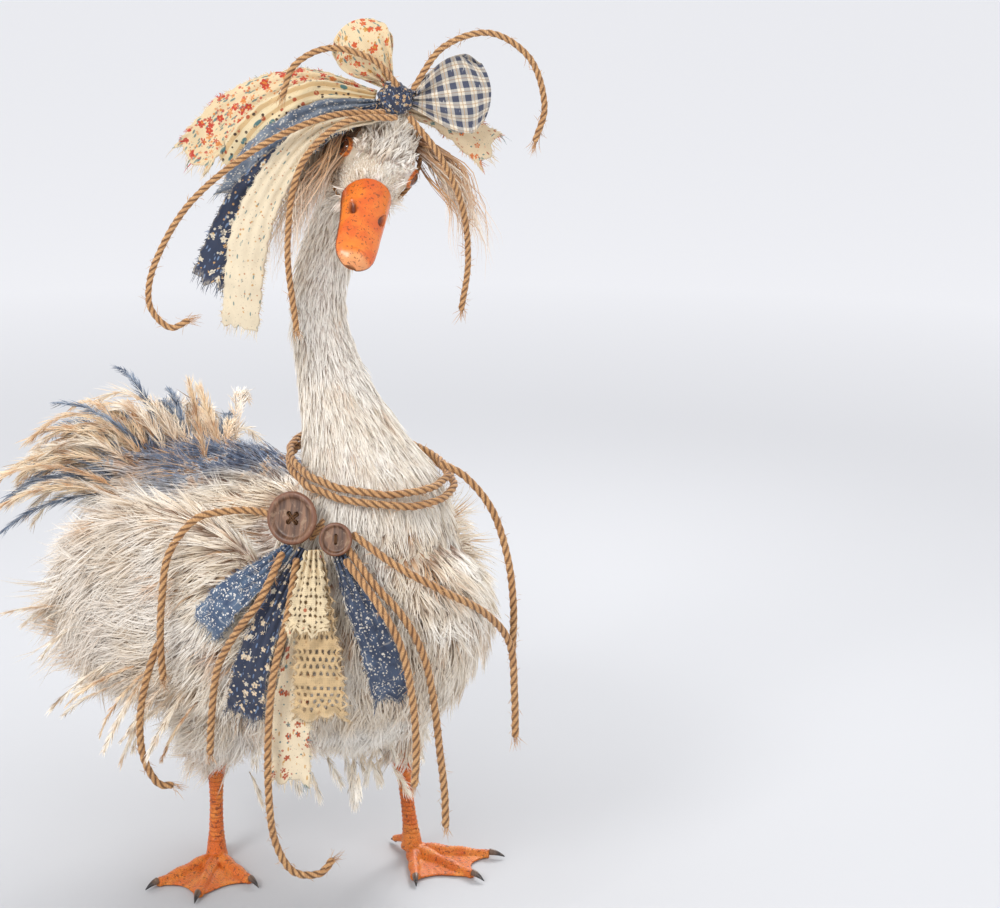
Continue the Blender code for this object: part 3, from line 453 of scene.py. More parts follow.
TOES = ((radians(-38), 0.08), (radians(2), 0.099), (radians(36), 0.091))
SHANK_ROWS = np.array((  # height, place behind the heel, half-width
    (0.006, -0.001, 0.01), (0.014, 0.0, 0.0095), (0.022, 0.001, 0.0084), (0.036, 0.003, 0.0071),
    (0.06, 0.007, 0.0066), (0.082, 0.0105, 0.0076), (0.096, 0.012, 0.0104), (0.104, 0.012, 0.0114),
    (0.112, 0.012, 0.0104), (0.132, 0.009, 0.0092),
))


def leg_surfaces(side, heel, turn):
    """Shank, three knuckled toes, hind toe, pad and the two webs, all overlapping."""
    rows = smooth_path(SHANK_ROWS, 60)
    front = (sin(turn), -cos(turn), 0)
    path = foot_place(heel, turn, pi, rows[:, 1], rows[:, 0])
    parts = [closed_tube(rings_along(path, rows[:, 2] * 1.02, rows[:, 2] * 1.08, 28, front))]
    for angle, length in TOES:
        s = ramp(44)
        swell = 0.0062 * (1.12 - 0.36 * s) * (1 + 0.11 * np.cos(s * 3.0 * tau))
        path = foot_place(heel, turn, side * angle, s * (length - 0.006) - 0.004, 0.0049 - 0.0012 * s)
        parts.append(closed_tube(rings_along(path, swell, swell * 0.88, 20)))
    hind = smooth_path(((-0.004, 0.012), (0.01, 0.011), (0.021, 0.0075), (0.0275, 0.005)), 16)
    path = foot_place(heel, turn, pi, hind[:, 0], hind[:, 1])
    half = np.linspace(0.005, 0.0034, 16)
    parts.append(closed_tube(rings_along(path, half, half, 16)))
    pad = foot_place(heel, turn, 0, np.zeros(8), np.linspace(0.0042, 0.0125, 8))
    half = np.linspace(0.0118, 0.0094, 8)
    parts.append(closed_tube(rings_along(pad, half, half, 24, (0, 1, 0))))
    parts.append(web_surface(side, heel, turn))
    return parts


def web_surface(side, heel, turn):
    """A thin closed plate over angle and reach; its edge bows in between toes, its top is ribbed."""
    share = ramp(41)[:, None]
    bends = np.array([angle for angle, _ in TOES])
    angle = np.interp(share, (0, 0.5, 1), bends)
    reach = np.interp(share, (0, 0.5, 1), [length - 0.01 for _, length in TOES])
    between = np.sin(pi * ((share * 2) % 1.0))
    edge = reach * (1 - 0.17 * between)
    run = np.linspace(0.03, 1, 26)[None]
    top = 0.0036 - 0.0008 * between * np.ones_like(run) + 0.00035 * np.sin(share * 70) * between
    flat = side * angle + 0 * run
    upper = foot_place(heel, turn, flat, edge * run, top)
    lower = foot_place(heel, turn, flat, edge * run, 0.0006 + 0 * top)
    rings = np.concatenate([upper, lower[:, ::-1]], axis=1)
    return closed_tube(rings)


def bare_leg(points):
    """1 on the scaled legs and feet, 0 above the ankles, with a soft step between."""
    bare = np.zeros(len(points))
    for _, heel, _ in HEELS.values():
        away = norm((points - heel - SHIFT)[:, :2])
        bare = np.maximum(bare, (away < 0.14) * eased(-points[:, 2], -0.121, -0.112))
    return bare


def scute_relief(points):
    """Height of the leg's scales: saw-tooth steps up the shank and along each toe."""
    relief = np.zeros(len(points))
    for side, heel, turn in HEELS.values():
        local = points - heel - SHIFT
        near = norm(local[:, :2]) < 0.12
        front = local @ np.array((sin(turn), -cos(turn), 0))
        shank = eased(local[:, 2], 0.014, 0.022) * (norm(local[:, :2]) < 0.03)
        saw = 1 - ((local[:, 2] + 0.06 * front) / SHANK_SCUTE) % 1.0
        relief += near * shank * (saw**2 * 0.00085 - 0.0003)
        for angle, _ in TOES:
            aim = turn + side * angle
            way = np.array((sin(aim), -cos(aim), 0))
            run = local @ way
            off = np.abs(local @ np.array((cos(aim), sin(aim), 0)))
            on_toe = (1 - eased(off, 0.0045, 0.0072)) * (run > 0.01)
            on_toe = on_toe * (local[:, 2] > 0.004) * (1 - shank)
            relief += near * on_toe * ((1 - (run / TOE_SCUTE) % 1.0) ** 2 * 0.0007 - 0.0003)
    return relief


def make_skin():
    """One closed skin: trunk, wings, tail, neck and thighs melted together, then face and legs joined on."""
    trunk_parts = [trunk_surface(0.022), neck_surface(), tail_surface(0.008), head_surface(0.005)]
    leg_parts = []
    for side, heel, turn in HEELS.values():
        trunk_parts += [wing_surface(side, 0.017), thigh_surface(side, heel, turn, 0.01)]
        leg_parts += leg_surfaces(side, heel, turn)
    torso = fused("skin", trunk_parts, 0.0046, 8)
    face_parts = [head_surface(0.003)]
    for side in (-1, 1):
        centre, look = eye_frame(side)
        cheek = head(0.006, side * 0.0165, -0.0125)
        brow = head(0.014, side * 0.0215, 0.0215)
        face_parts.append(egg(cheek, (0.0225, 0.013, 0.017), HEAD_AXES))
        face_parts.append(egg(brow, (0.015, 0.0058, 0.0058), HEAD_AXES))
        face_parts.append(ring_tube(centre + look * LID_DEPTH, look, LID_RADIUS, LID_THICK))
        face_parts.append(egg(centre - look * EYE_RADIUS * 0.25, (EYE_RADIUS * 1.15,) * 3))
    face = fused("face", face_parts, 0.0013, 3)
    legs = fused("legs", leg_parts, 0.0013, 2)
    points, normals, _ = arrays_of(legs)
    points += normals * scute_relief(points)[:, None]
    points[:, 2] = np.maximum(points[:, 2], 0.0)
    legs.data.vertices.foreach_set("co", points.ravel())
    for other in (face, legs):
        join = torso.modifiers.new("join", "BOOLEAN")
        join.operation, join.solver, join.object = "UNION", "MANIFOLD", other
    bake_modifiers(torso)
    for other in (face, legs):
        bpy.data.objects.remove(other, do_unlink=True)
    points, _, _ = arrays_of(torso)
    bare = bare_leg(points)
    for side in (-1, 1):
        centre, look = eye_frame(side)
        deep = (points - centre) @ look
        aside = norm(points - centre - deep[:, None] * look)
        from_lid = np.hypot(deep - LID_DEPTH, aside - LID_RADIUS)
        bare = np.maximum(bare, 1 - eased(from_lid, 0.0017, 0.0023))
    put_value(torso.data, "bare", bare)
    torso.data.polygons.foreach_set("use_smooth", np.ones(len(torso.data.polygons), bool))
    torso.data.materials.clear()
    torso.data.materials.append(skin_finish())
    torso.data.polygons.foreach_set("material_index", np.zeros(len(torso.data.polygons), np.int32))
    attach(torso, "root")
    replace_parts(torso, "trunk", "neck", "head", "tail", "wing_left",
        "wing_right", "thigh_left", "thigh_right", "shank_left", "shank_right", "foot_left", "foot_right")


# ---- materials ----
class Finish:
    """A Principled material and short ways to add the nodes that colour and roughen it."""

    def __init__(self, name, roughness, **sockets):
        self.material = bpy.data.materials.new(name)
        self.material.use_nodes = True
        self.tree = self.material.node_tree
        self.shader = self.tree.nodes["Principled BSDF"]
        self.shader.inputs["Roughness"].default_value = roughness
        for key, value in sockets.items():
            self.shader.inputs[key.replace("_", " ")].default_value = value

    def node(self, kind, *links, **settings):
        """A node with its first sockets linked or set in order, and its own settings."""
        made = self.tree.nodes.new("ShaderNode" + kind)
        for key, value in settings.items():
            setattr(made, key, value)
        for place, value in enumerate(links):
            self.put(made.inputs[place], value)
        return made

    def put(self, socket, value):
        """A link, a colour or a number put into a socket."""
        if value is None:
            return
        if isinstance(value, bpy.types.NodeSocket):
            self.tree.links.new(value, socket)
        elif socket.type == "RGBA":
            socket.default_value = (*value, 1)
        else:
            socket.default_value = value

    def place(self, scale=(1, 1, 1), shift=(0, 0, 0), uv=None, turn=(0, 0, 0)):
        """Object coordinates, or a UV map, moved, turned and scaled."""
        kind, settings = ("UVMap", {"uv_map": uv}) if uv else ("TexCoord", {})
        source = self.node(kind, **settings).outputs["UV" if uv else "Object"]
        return self.node("Mapping", source, shift, turn, scale).outputs[0]

    def noise(self, where, scale, detail=3.0, rough=0.55, distortion=0.0):
        made = self.node("TexNoise")
        for key, value in (("Vector", where), ("Scale", scale), ("Detail", detail), ("Roughness", rough),
                           ("Distortion", distortion)):
            self.put(made.inputs[key], value)
        return made.outputs["Fac"]

    def cells(self, where, scale, feature, output="Distance", randomness=1.0):
        made = self.node("TexVoronoi", feature=feature)
        for key, value in (("Vector", where), ("Scale", scale), ("Randomness", randomness)):
            self.put(made.inputs[key], value)
        return made.outputs[output]

    def maths(self, operation, a, b=None, c=None):
        return self.node("Math", a, b, c, operation=operation).outputs[0]

    def times(self, a, b):
        """One value by another."""
        return self.maths("MULTIPLY", a, b)

    def step(self, value, low, high):
        """0 below low and 1 above high, smoothly."""
        made = self.node("MapRange", value, low, high, 0.0, 1.0, interpolation_type="SMOOTHSTEP")
        return made.outputs[0]

    def mix(self, share, a, b, blend="MIX"):
        made = self.node("Mix", data_type="RGBA", blend_type=blend)
        self.put(made.inputs[0], share)
        self.put(made.inputs[6], a)
        self.put(made.inputs[7], b)
        return made.outputs[2]

    def stain(self, colour, ink, mask, strength):
        """A colour turned towards an ink by a mask and a strength."""
        return self.mix(self.times(mask, strength), colour, ink)

    def value(self, name):
        """A named value of the mesh's points."""
        return self.node("Attribute", attribute_name=name).outputs["Fac"]

    def finish(self, colour, roughness=None, bump=None, strength=0.4, distance=0.001):
        self.put(self.shader.inputs["Base Color"], colour)
        self.put(self.shader.inputs["Roughness"], roughness)
        if bump is not None:
            made = self.node("Bump")
            made.inputs["Strength"].default_value = strength
            made.inputs["Distance"].default_value = distance
            self.put(made.inputs["Height"], bump)
            self.put(self.shader.inputs["Normal"], made.outputs[0])
        return self.material


def rgb(*steps):
    """Scene-linear colour from sRGB red, green and blue of 0 to 255."""
    share = np.array(steps) / 255
    linear = np.where(share <= 0.04045, share / 12.92, ((share + 0.055) / 1.055) ** 2.4)
    return tuple(float(v) for v in linear)


def length(name, description, default):
    """A size property in metres."""
    return FloatProperty(name=name, description=description, default=default, min=0.0, unit="LENGTH")


def tint(name, description, *steps):
    """A colour property; its default is given in sRGB steps of 0 to 255."""
    return FloatVectorProperty(
        name=name, description=description, default=rgb(*steps), subtype="COLOR", min=0.0, max=1.0)


class GooseSizes(bpy.types.PropertyGroup):
    """Sizes of the coat, the twine, the cloth and the stage."""
    body_lock: length("Body lock", "Length of the trunk's locks", 0.07)
    neck_lock: length("Neck lock", "Length of the neck's strands", 0.017)
    head_tuft: length("Head tuft", "Length of the head's tufts", 0.011)
    vane_spacing: length("Vane spacing", "Between the trunk's broad vanes", 0.01)
    lock_spacing: length("Lock spacing", "Between the trunk's loose locks", 0.0074)
    lock_strands: IntProperty(
        name="Strands", description="Strands in each of the trunk's locks", default=11, min=1)
    collar_twine: length("Collar twine", "Its diameter", TWINE)
    head_twine: length("Head twine", "Its diameter", 0.0058)
    band_twine: length("Head band", "Its diameter", 0.004)
    cloth: length("Cloth", "Thickness of the rags", 0.001)
    camera_height: length("Camera height", "Above the floor", 0.95)
    camera_distance: length("Camera distance", "In front of the goose", 2.0)
    light: FloatProperty(name="Light", description="Strength of the lamps", default=1.0, min=0.0)


class GooseColours(bpy.types.PropertyGroup):
    """Colours of the plumage, of the bare parts and of what the goose wears."""
    cream: tint("Cream", "Ground of the plumage", 240, 227, 206)
    white: tint("White", "Palest feathers and worn threads", 252, 247, 238)
    buff: tint("Buff", "Warm locks", 212, 168, 122)
    brown: tint("Brown", "Brown strands", 142, 98, 64)
    dark: tint("Dark", "Darkest strands", 76, 56, 44)
    slate: tint("Slate", "Pale blue of the back", 92, 112, 142)
    navy: tint("Navy", "Dark blue of the back", 46, 62, 92)
    legs: tint("Legs", "Bare skin of legs and lids", 236, 142, 56)
    bill: tint("Bill", "Horn of the bill", 244, 132, 34)
    iris: tint("Iris", "Eye round the pupil", 150, 84, 42)
    claw: tint("Claw", "Tip of the claws", 44, 40, 42)
    twine: tint("Twine", "Jute fibres", 226, 180, 126)
    wood: tint("Wood", "Buttons", 140, 102, 76)
    check: tint("Check", "Gingham bands", 50, 68, 104)
    linen: tint("Linen", "Pale prints", 232, 220, 196)
    rust: tint("Rust", "Warm prints", 182, 84, 48)
    ochre: tint("Ochre", "Yellow prints", 206, 148, 62)
    teal: tint("Teal", "Cool prints", 84, 126, 128)
    floor: tint("Floor", "The floor far away", 249, 249, 251)


def hue(name):
    """A colour of the scene's goose."""
    return tuple(getattr(bpy.context.scene.goose_colours, name))


def plumage_marks(finish):
    """Markings by place: cream with warm patches, a slate, navy and buff back, and fine flecks."""
    here = finish.place()
    warm = finish.step(finish.noise(here, 9.0, 4.0), 0.46, 0.72)
    colour = finish.mix(warm, hue("cream"), rgb(228, 206, 176))
    pale = finish.step(finish.noise(finish.place(shift=(3.1, 1.7, 0.4)), 14.0, 3.0), 0.46, 0.62)
    colour = finish.mix(pale, colour, hue("white"))
    x, y, z = finish.node("SeparateXYZ", here).outputs
    flank = finish.times(finish.step(x, 0.02, -0.15), finish.step(z, 0.43, 0.37))
    colour = finish.stain(colour, rgb(192, 158, 124), flank, 0.42)
    back = finish.times(finish.step(z, 0.352, 0.404), finish.step(y, -0.085, -0.02))
    back = finish.times(back, finish.step(z, 0.62, 0.5))
    patch = finish.maths("MULTIPLY_ADD", finish.noise(finish.place(shift=(0.2, 5.0, 1.0)), 26.0, 3.0), 0.5,
                         finish.times(finish.noise(finish.place(scale=(1, 0.5, 1)), 150.0, 3.0), 0.5))
    blue = finish.mix(finish.step(patch, 0.5, 0.58), hue("slate"), hue("navy"))
    colour = finish.stain(colour, blue, back, finish.step(patch, 0.42, 0.48))
    colour = finish.stain(colour, rgb(160, 112, 72), back, finish.step(patch, 0.46, 0.4))
    fleck = finish.step(finish.noise(finish.place(scale=(1, 1, 0.6)), 260.0, 3.0, 0.6), 0.615, 0.66)
    colour = finish.stain(colour, rgb(104, 68, 42), fleck, 0.8)
    return colour, here, back


def skin_finish():
    """Shaded skin under the coat; orange scales with dark seams, rings and spots where it is bare."""
    made = Finish("goose_skin", 0.62, Subsurface_Weight=0.06, Subsurface_Scale=0.004)
    down, here, _ = plumage_marks(made)
    shade = made.noise(here, 420.0, 4.0)
    down = made.stain(down, rgb(150, 124, 98), shade, 0.55)
    orange = made.mix(made.step(made.noise(here, 60.0, 4.0), 0.4, 0.66), rgb(222, 112, 36), hue("legs"))
    spots = made.step(made.noise(here, 300.0), 0.575, 0.64)
    orange = made.stain(orange, rgb(104, 46, 22), spots, 0.75)
    height_up = made.node("SeparateXYZ", here).outputs[2]
    ring = made.maths("FRACT", made.maths("MULTIPLY_ADD", made.noise(here, 90.0, 1.0), 0.35,
                                          made.times(height_up, 1 / SHANK_SCUTE)))
    ring = made.times(made.step(ring, 0.24, 0.05), made.step(height_up, 0.016, 0.024))
    orange = made.stain(orange, rgb(128, 54, 20), ring, 0.55)
    seams = made.cells(here, 430.0, "DISTANCE_TO_EDGE")
    orange = made.stain(orange, rgb(128, 54, 20), made.step(seams, 0.1, 0.0), 0.5)
    bare = made.value("bare")
    colour = made.mix(bare, down, orange)
    height = made.maths("ADD", made.times(made.step(seams, 0.0, 0.14), 0.7), made.times(shade, 0.5))
    height = made.maths("SUBTRACT", height, made.times(ring, 0.8))
    gloss = made.node("MapRange", bare, 0.0, 1.0, 0.85, 0.42).outputs[0]
    return made.finish(colour, gloss, height, 0.55, 0.0006)


def coat_finish(name, warmth_and_root_shade, pale):
    """Feathers: the goose's markings, browner at the root as painted shade between the locks, each lock in
    its own tone, some strands dark.
    """
    made = Finish(name, 0.72, Sheen_Weight=0.15, Subsurface_Weight=0.0)
    colour, _, back = plumage_marks(made)
    tone, along = made.value("tone"), made.value("along")
    fade = made.maths("SUBTRACT", 1.0, made.times(back, 0.9))
    colour = made.stain(colour, hue("white"), fade, pale)
    colour = made.stain(colour, hue("buff"), made.step(tone, 0.62, 0.82), warmth_and_root_shade)
    colour = made.stain(colour, hue("brown"), made.step(tone, 0.885, 0.91), 0.85)
    colour = made.stain(colour, hue("dark"), made.step(tone, 0.96, 0.97), 0.85)
    colour = made.stain(colour, hue("white"), made.times(made.step(tone, 0.4, 0.22), fade), 0.8)
    # painted shade: brown at the roots, where the locks shade one another
    root = made.step(along, 0.58, 0.0)
    colour = made.stain(colour, rgb(138, 92, 58), root, warmth_and_root_shade)
    tip = made.times(made.times(made.step(along, 0.4, 0.95), fade), 0.5)
    colour = made.mix(tip, colour, hue("white"))
    return made.finish(colour)


# ---- feathers ----
def unwrap(points):
    """Each root's place on an unwrap of the skin's own shape: an island each for trunk, neck and head."""
    local = in_body(points)
    face = in_head(points)
    rows = neck_rows(40)
    near = np.argmin(((points[:, None] - rows[None, :, :3]) ** 2).sum(-1), axis=1)
    _, across, outward = path_frames(rows[:, :3], FORWARD)
    off = points - rows[near, :3]
    turn = np.arctan2((off * across[near]).sum(-1), (off * outward[near]).sum(-1))
    neck_uv = np.column_stack([0.7 + 0.28 * (turn / tau + 0.5), 0.02 + 0.55 * near / 40])
    axis = TRUNK_AXIS_HEIGHT + TRUNK_AXIS_RISE * (local[:, 0] - 0.01) ** 2
    turn = np.arctan2(local[:, 1], local[:, 2] - axis)
    trunk_uv = np.column_stack([0.02 + 0.64 * (turn / tau + 0.5), 0.02 + 0.94 * (local[:, 0] + 0.36) / 0.64])
    turn = np.arctan2(face[:, 1], face[:, 2])
    head_uv = np.column_stack([0.7 + 0.28 * (turn / tau + 0.5), 0.62 + 0.34 * (face[:, 0] + 0.05) / 0.11])
    place = region(points)
    uv = np.where(place[:, :1] > 0.5, head_uv, np.where(place[:, 1:2] > 0.5, neck_uv, trunk_uv))
    return np.clip(uv, 0.004, 0.996)


def region(points):
    """Shares of head and of neck for each point; the rest is trunk."""
    face = in_head(points)
    rows = neck_rows(40)[4:]
    off_neck = np.sqrt(((points[:, None] - rows[None, :, :3]) ** 2).sum(-1).min(axis=1))
    head_share = eased(-norm(face - (0.004, 0, 0.0)), -0.056, -0.044)
    neck_share = eased(-(off_neck - 0.098), 0.0, 0.012) * eased(points[:, 2], 0.404, 0.424)
    return np.column_stack([head_share, neck_share * (1 - head_share)])


def to_neck(points):
    """Distance to the neck's middle line, and the way down the neck, for each point."""
    rows = neck_rows(40)
    far = ((points[:, None] - rows[None, :, :3]) ** 2).sum(-1)
    near = np.argmin(far, axis=1)
    return np.sqrt(far[np.arange(len(points)), near]), -heading(rows[:, :3])[near]


def below_collar(points):
    """0 on the neck's foot above the collar, rising to 1 over the breast and the rest of the trunk."""
    away, _ = to_neck(points)
    return np.maximum(eased(-points[:, 2], -0.424, -0.38), eased(away, 0.1, 0.125))


def lie_of_coat(points, normals):
    """Which way feathers lie: down the neck, back over the head, down the breast, back along the trunk."""
    local = in_body(points)
    away, down_neck = to_neck(points)
    face = in_head(points)
    over_head = np.column_stack([-0.8 + 0 * face[:, 0], face[:, 1] * 5, (face[:, 2] + 0.004) * 9])
    over_head = unit(over_head @ HEAD_AXES)
    front = eased(local[:, 0], -0.05, 0.15)[:, None]
    low = eased(-local[:, 2], -0.34, -0.18)[:, None]
    over_trunk = unit(-FORWARD * (1.0 - 0.72 * front) - UP * (0.46 + 0.7 * front + 0.3 * low))
    foot = ((1 - eased(away, 0.08, 0.115)) * eased(local[:, 2], 0.36, 0.43))[:, None]
    aside = local[:, :2] - (0.085, 0.0)
    reach = norm(aside)
    outward_share = (1 - eased(reach, 0.11, 0.24)) * eased(local[:, 2], 0.27, 0.36)
    aside = unit(aside) * outward_share[:, None] * 1.6
    over_trunk = over_trunk + FORWARD * aside[:, :1] + LEFT * aside[:, 1:]
    over_trunk = unit(over_trunk * (1 - foot) - UP * foot)
    shares = region(points)
    lie = over_trunk * (1 - shares.sum(1, keepdims=True)) + down_neck * shares[:, 1:]
    lie = lie + over_head * shares[:, :1]
    swirl = ripple(points, 30.0, 5) * 0.34 * (1 - 0.7 * shares.sum(1))
    lie = unit(lie)
    lie = lie - normals * (lie * normals).sum(-1, keepdims=True)
    down = -UP + normals * normals[:, 2:]
    lie = lie + down * 1.2 * np.maximum(0, 0.4 - np.linalg.norm(lie, axis=1, keepdims=True))
    return turned(unit(lie), normals, swirl)


def scatter(points, normals, tris, allowed, spacing, seed):
    """Roots spread evenly over the allowed skin: many random places, one kept in each small cell."""
    rng = np.random.default_rng(seed)
    a, b, c = (points[tris[:, k]] for k in range(3))
    area = norm(np.cross(b - a, c - a)) * allowed[tris].mean(1)
    count = int(area.sum() / 2 / spacing**2 * 7)
    pick = rng.choice(len(tris), count, p=area / area.sum())
    u, v = rng.uniform(size=(2, count))
    flip = u + v > 1
    u, v = np.where(flip, 1 - u, u), np.where(flip, 1 - v, v)
    mix = np.column_stack([1 - u - v, u, v])[:, :, None]
    places = (points[tris[pick]] * mix).sum(1)
    faces = unit((normals[tris[pick]] * mix).sum(1))
    cells = np.floor(places / (spacing * 1.16)).astype(np.int64)
    _, first = np.unique(cells, axis=0, return_index=True)
    first = rng.permutation(np.sort(first))
    return places[first], faces[first]


def lock_curves(roots, start, bend, length, steps, curl=None):
    """Curves of `steps` equal steps that set out along `start` and turn towards `bend` as they go."""
    t = (np.arange(steps) + 0.5) / steps
    way = start[:, None] + bend[:, None] * t[None, :, None]
    if curl is not None:
        way = way + curl[:, None] * (t**2)[None, :, None]
    way = unit(way) * (length / steps)[:, None, None]
    return np.concatenate([roots[:, None], roots[:, None] + np.cumsum(way, axis=1)], axis=1)


def blades(curves, normals, width, seed, columns, twist):
    """Tapered blades on curves: widest below the middle, pointed, cupped when three columns wide."""
    rng = np.random.default_rng(seed)
    count, stations = curves.shape[:2]
    t = ramp(stations)
    along = heading(curves, 1)
    angle = rng.normal(0, twist, count)[:, None] * np.ones(stations)
    side = unit(np.cross(along, normals[:, None]))
    side = turned(side, along, angle)
    shape = (0.45 + 0.55 * np.sin(np.minimum(t * 1.6, 1) * pi / 2)) * (1 - t**2.2) + 0.02
    half = width[:, None, None] / 2 * shape[None, :, None]
    if columns == 2:
        points = np.stack([curves - side * half, curves + side * half], axis=2)
    else:
        lift = np.cross(side, along) * half * 0.5
        points = np.stack([curves - side * half, curves + lift, curves + side * half], axis=2)
    return points


def coat_object(name, points, roots, tone, material):
    """One mesh of many blades; UV map OFBake holds a small patch for each at its root's place."""
    shape = points.shape[:3]
    t = ramp(shape[1])
    patch = stacked(np.linspace(-0.5, 0.5, shape[2])[None, :], t[:, None] - 0.5) * 0.003
    uv = unwrap(roots)[:, None, None] + patch[None]
    values = {"along": np.broadcast_to(t[None, :, None], shape),
        "tone": np.broadcast_to(tone[:, None, None], shape)}
    return make_object(name, points, blade_faces(shape), uv, "OFBake", values, material, "plumage")


def tufted(roots, normals, lie, length, width, lift, seed, strands, spread, steps, twist, columns, droop,
           curl, tones, sunk=0.0012, weight=0.12, foot=0.0, gather=0.75):
    """Locks of strands that start `foot` apart, rise by `lift`, bend back and gather towards the tip."""
    rng = np.random.default_rng(seed)
    locks, count = len(roots), len(roots) * strands
    pick = np.repeat(np.arange(locks), strands)
    n, d = normals[pick], lie[pick]
    side = np.cross(n, d)
    sway = (rng.normal(0, spread, locks)[pick] + rng.normal(0, spread * 0.4, count))[:, None]
    rise = (np.broadcast_to(lift, locks) * rng.uniform(0.55, 1.45, locks))[pick]
    rise = rise * rng.uniform(0.8, 1.2, count)
    start = unit(d + side * sway + n * rise[:, None])
    drift = (rng.normal(0, spread * 0.8, locks)[pick] + rng.normal(0, spread * 0.25, count))[:, None]
    bend = -n * rise[:, None] * droop * 2 + side * drift - UP * weight
    hook = (rng.normal(0, curl, locks)[pick] + rng.normal(0, curl * 0.35, count))[:, None]
    curve_away = side * hook + n * np.abs(rng.normal(0, curl * 0.6 + 1e-6, locks))[pick][:, None]
    long = (np.broadcast_to(length, locks) * rng.uniform(0.78, 1.14, locks))[pick]
    long = long * rng.uniform(0.8, 1.06, count)
    offset = side * rng.normal(0, foot + 1e-6, count)[:, None]
    offset = offset + d * rng.normal(0, foot + 1e-6, count)[:, None]
    curves = lock_curves(roots[pick] + offset - n * sunk, start, bend, long, steps, curve_away)
    share = ramp(steps + 1)[None, :, None]
    curves = curves - offset[:, None] * gather * share**1.3
    wide = np.broadcast_to(width, locks)[pick] * rng.uniform(0.7, 1.3, count)
    points = blades(curves, n, wide, seed + 1, columns, twist)
    return points, roots[pick], np.clip(tones[pick] + rng.uniform(-0.13, 0.13, count), 0, 1)


def skin_places():
    """The skin's points, normals, triangles and its bare share."""
    skin = bpy.data.objects["skin"]
    points, normals, tris = arrays_of(skin)
    bare = np.empty(len(points))
    skin.data.attributes["bare"].data.foreach_get("value", bare)
    return points, normals, tris, bare


def make_trunk_coat(size):
    """Broad cupped vanes below and long loose locks above, over trunk, wings, rump and thighs."""
    points, normals, tris, bare = skin_places()
    allowed = np.clip((1 - region(points).sum(1)) * (bare < 0.05), 0, 1)
    for layer, spacing, seed in (("vanes", size.vane_spacing, 11), ("strands", size.lock_spacing, 12)):
        # the first number sets the buff of warm locks and also the painted shade at the roots
        warmth_and_root_shade, pale = (0.98, 0.0) if layer == "vanes" else (0.9, 0.05)
        coat = coat_finish("coat_trunk_" + layer, warmth_and_root_shade, pale)
        roots, faces = scatter(points, normals, tris, allowed, spacing, seed)
        lie = lie_of_coat(roots, faces)
        local = in_body(roots)
        rear = eased(-local[:, 0], -0.12, 0.16)
        under = eased(-local[:, 2], -0.2, -0.14)
        free = below_collar(roots)
        length = size.body_lock * (0.66 + 0.52 * rear) * (1 - 0.12 * under) * (0.4 + 0.6 * free)
        lift = (0.42 - 0.06 * rear) * (0.2 + 0.8 * free)
        tones = 0.5 + 0.3 * ripple(roots, 75.0, seed + 10)
        if layer == "vanes":
            # the vanes' tones are raised by 0.14, which browns this under layer: partly its own colour,
            # partly painted shade in the gaps between the locks
            vane, base, tone = tufted(roots, faces,
                lie, length * 0.66, 0.008, lift * 0.5, 31, 1, 0.2, 5, 0.35, 3, 0.55, 0.25, tones + 0.14)
            coat_object("coat_trunk_vanes", vane, base, tone, coat)
            continue
        for number, part in enumerate(np.array_split(np.arange(len(roots)), 5), 1):
            strand, base, tone = tufted(
                roots[part], faces[part], lie[part], length[part], 0.0014, lift[part], 40 + number,
                size.lock_strands, 0.24, 4, 0.8, 2, 0.5, 0.42, tones[part], foot=0.003, gather=0.8)
            coat_object(f"coat_trunk_strands_{number}", strand, base, tone, coat)


def make_neck_coat(size):
    """Short soft strands that lie down the neck in wavy streaks, longest at its foot and its throat."""
    points, normals, tris, _ = skin_places()
    allowed = region(points)[:, 1]
    coat = coat_finish("coat_neck", 0.5, 0.5)
    for number, (spacing, share, wide, lift, strands) in enumerate(((0.0038, 1.02, 0.0012, 0.3, 5),
                                                                   (0.0068, 1.55, 0.001, 0.4, 6))):
        roots, faces = scatter(points, normals, tris, allowed, spacing, 13 + 60 * number)
        lie = lie_of_coat(roots, faces)
        foot = eased(-roots[:, 2], -0.56, -0.43)
        length = size.neck_lock * share * (0.85 + 0.6 * foot)
        lift = lift * (1 - 0.45 * foot)
        tones = 0.42 + 0.34 * ripple(roots * (1, 1, 0.35), 170.0, 23)
        strand, base, tone = tufted(roots, faces, lie, length, wide, lift, 51 + number, strands,
            0.17, 3 + number, 0.7, 2, 0.42, 0.26, tones, 0.0003, 0.3, 0.0013 + 0.0008 * number, 0.55)
        coat_object(f"coat_neck_{('down', 'wisps')[number]}", strand, base, tone, coat)


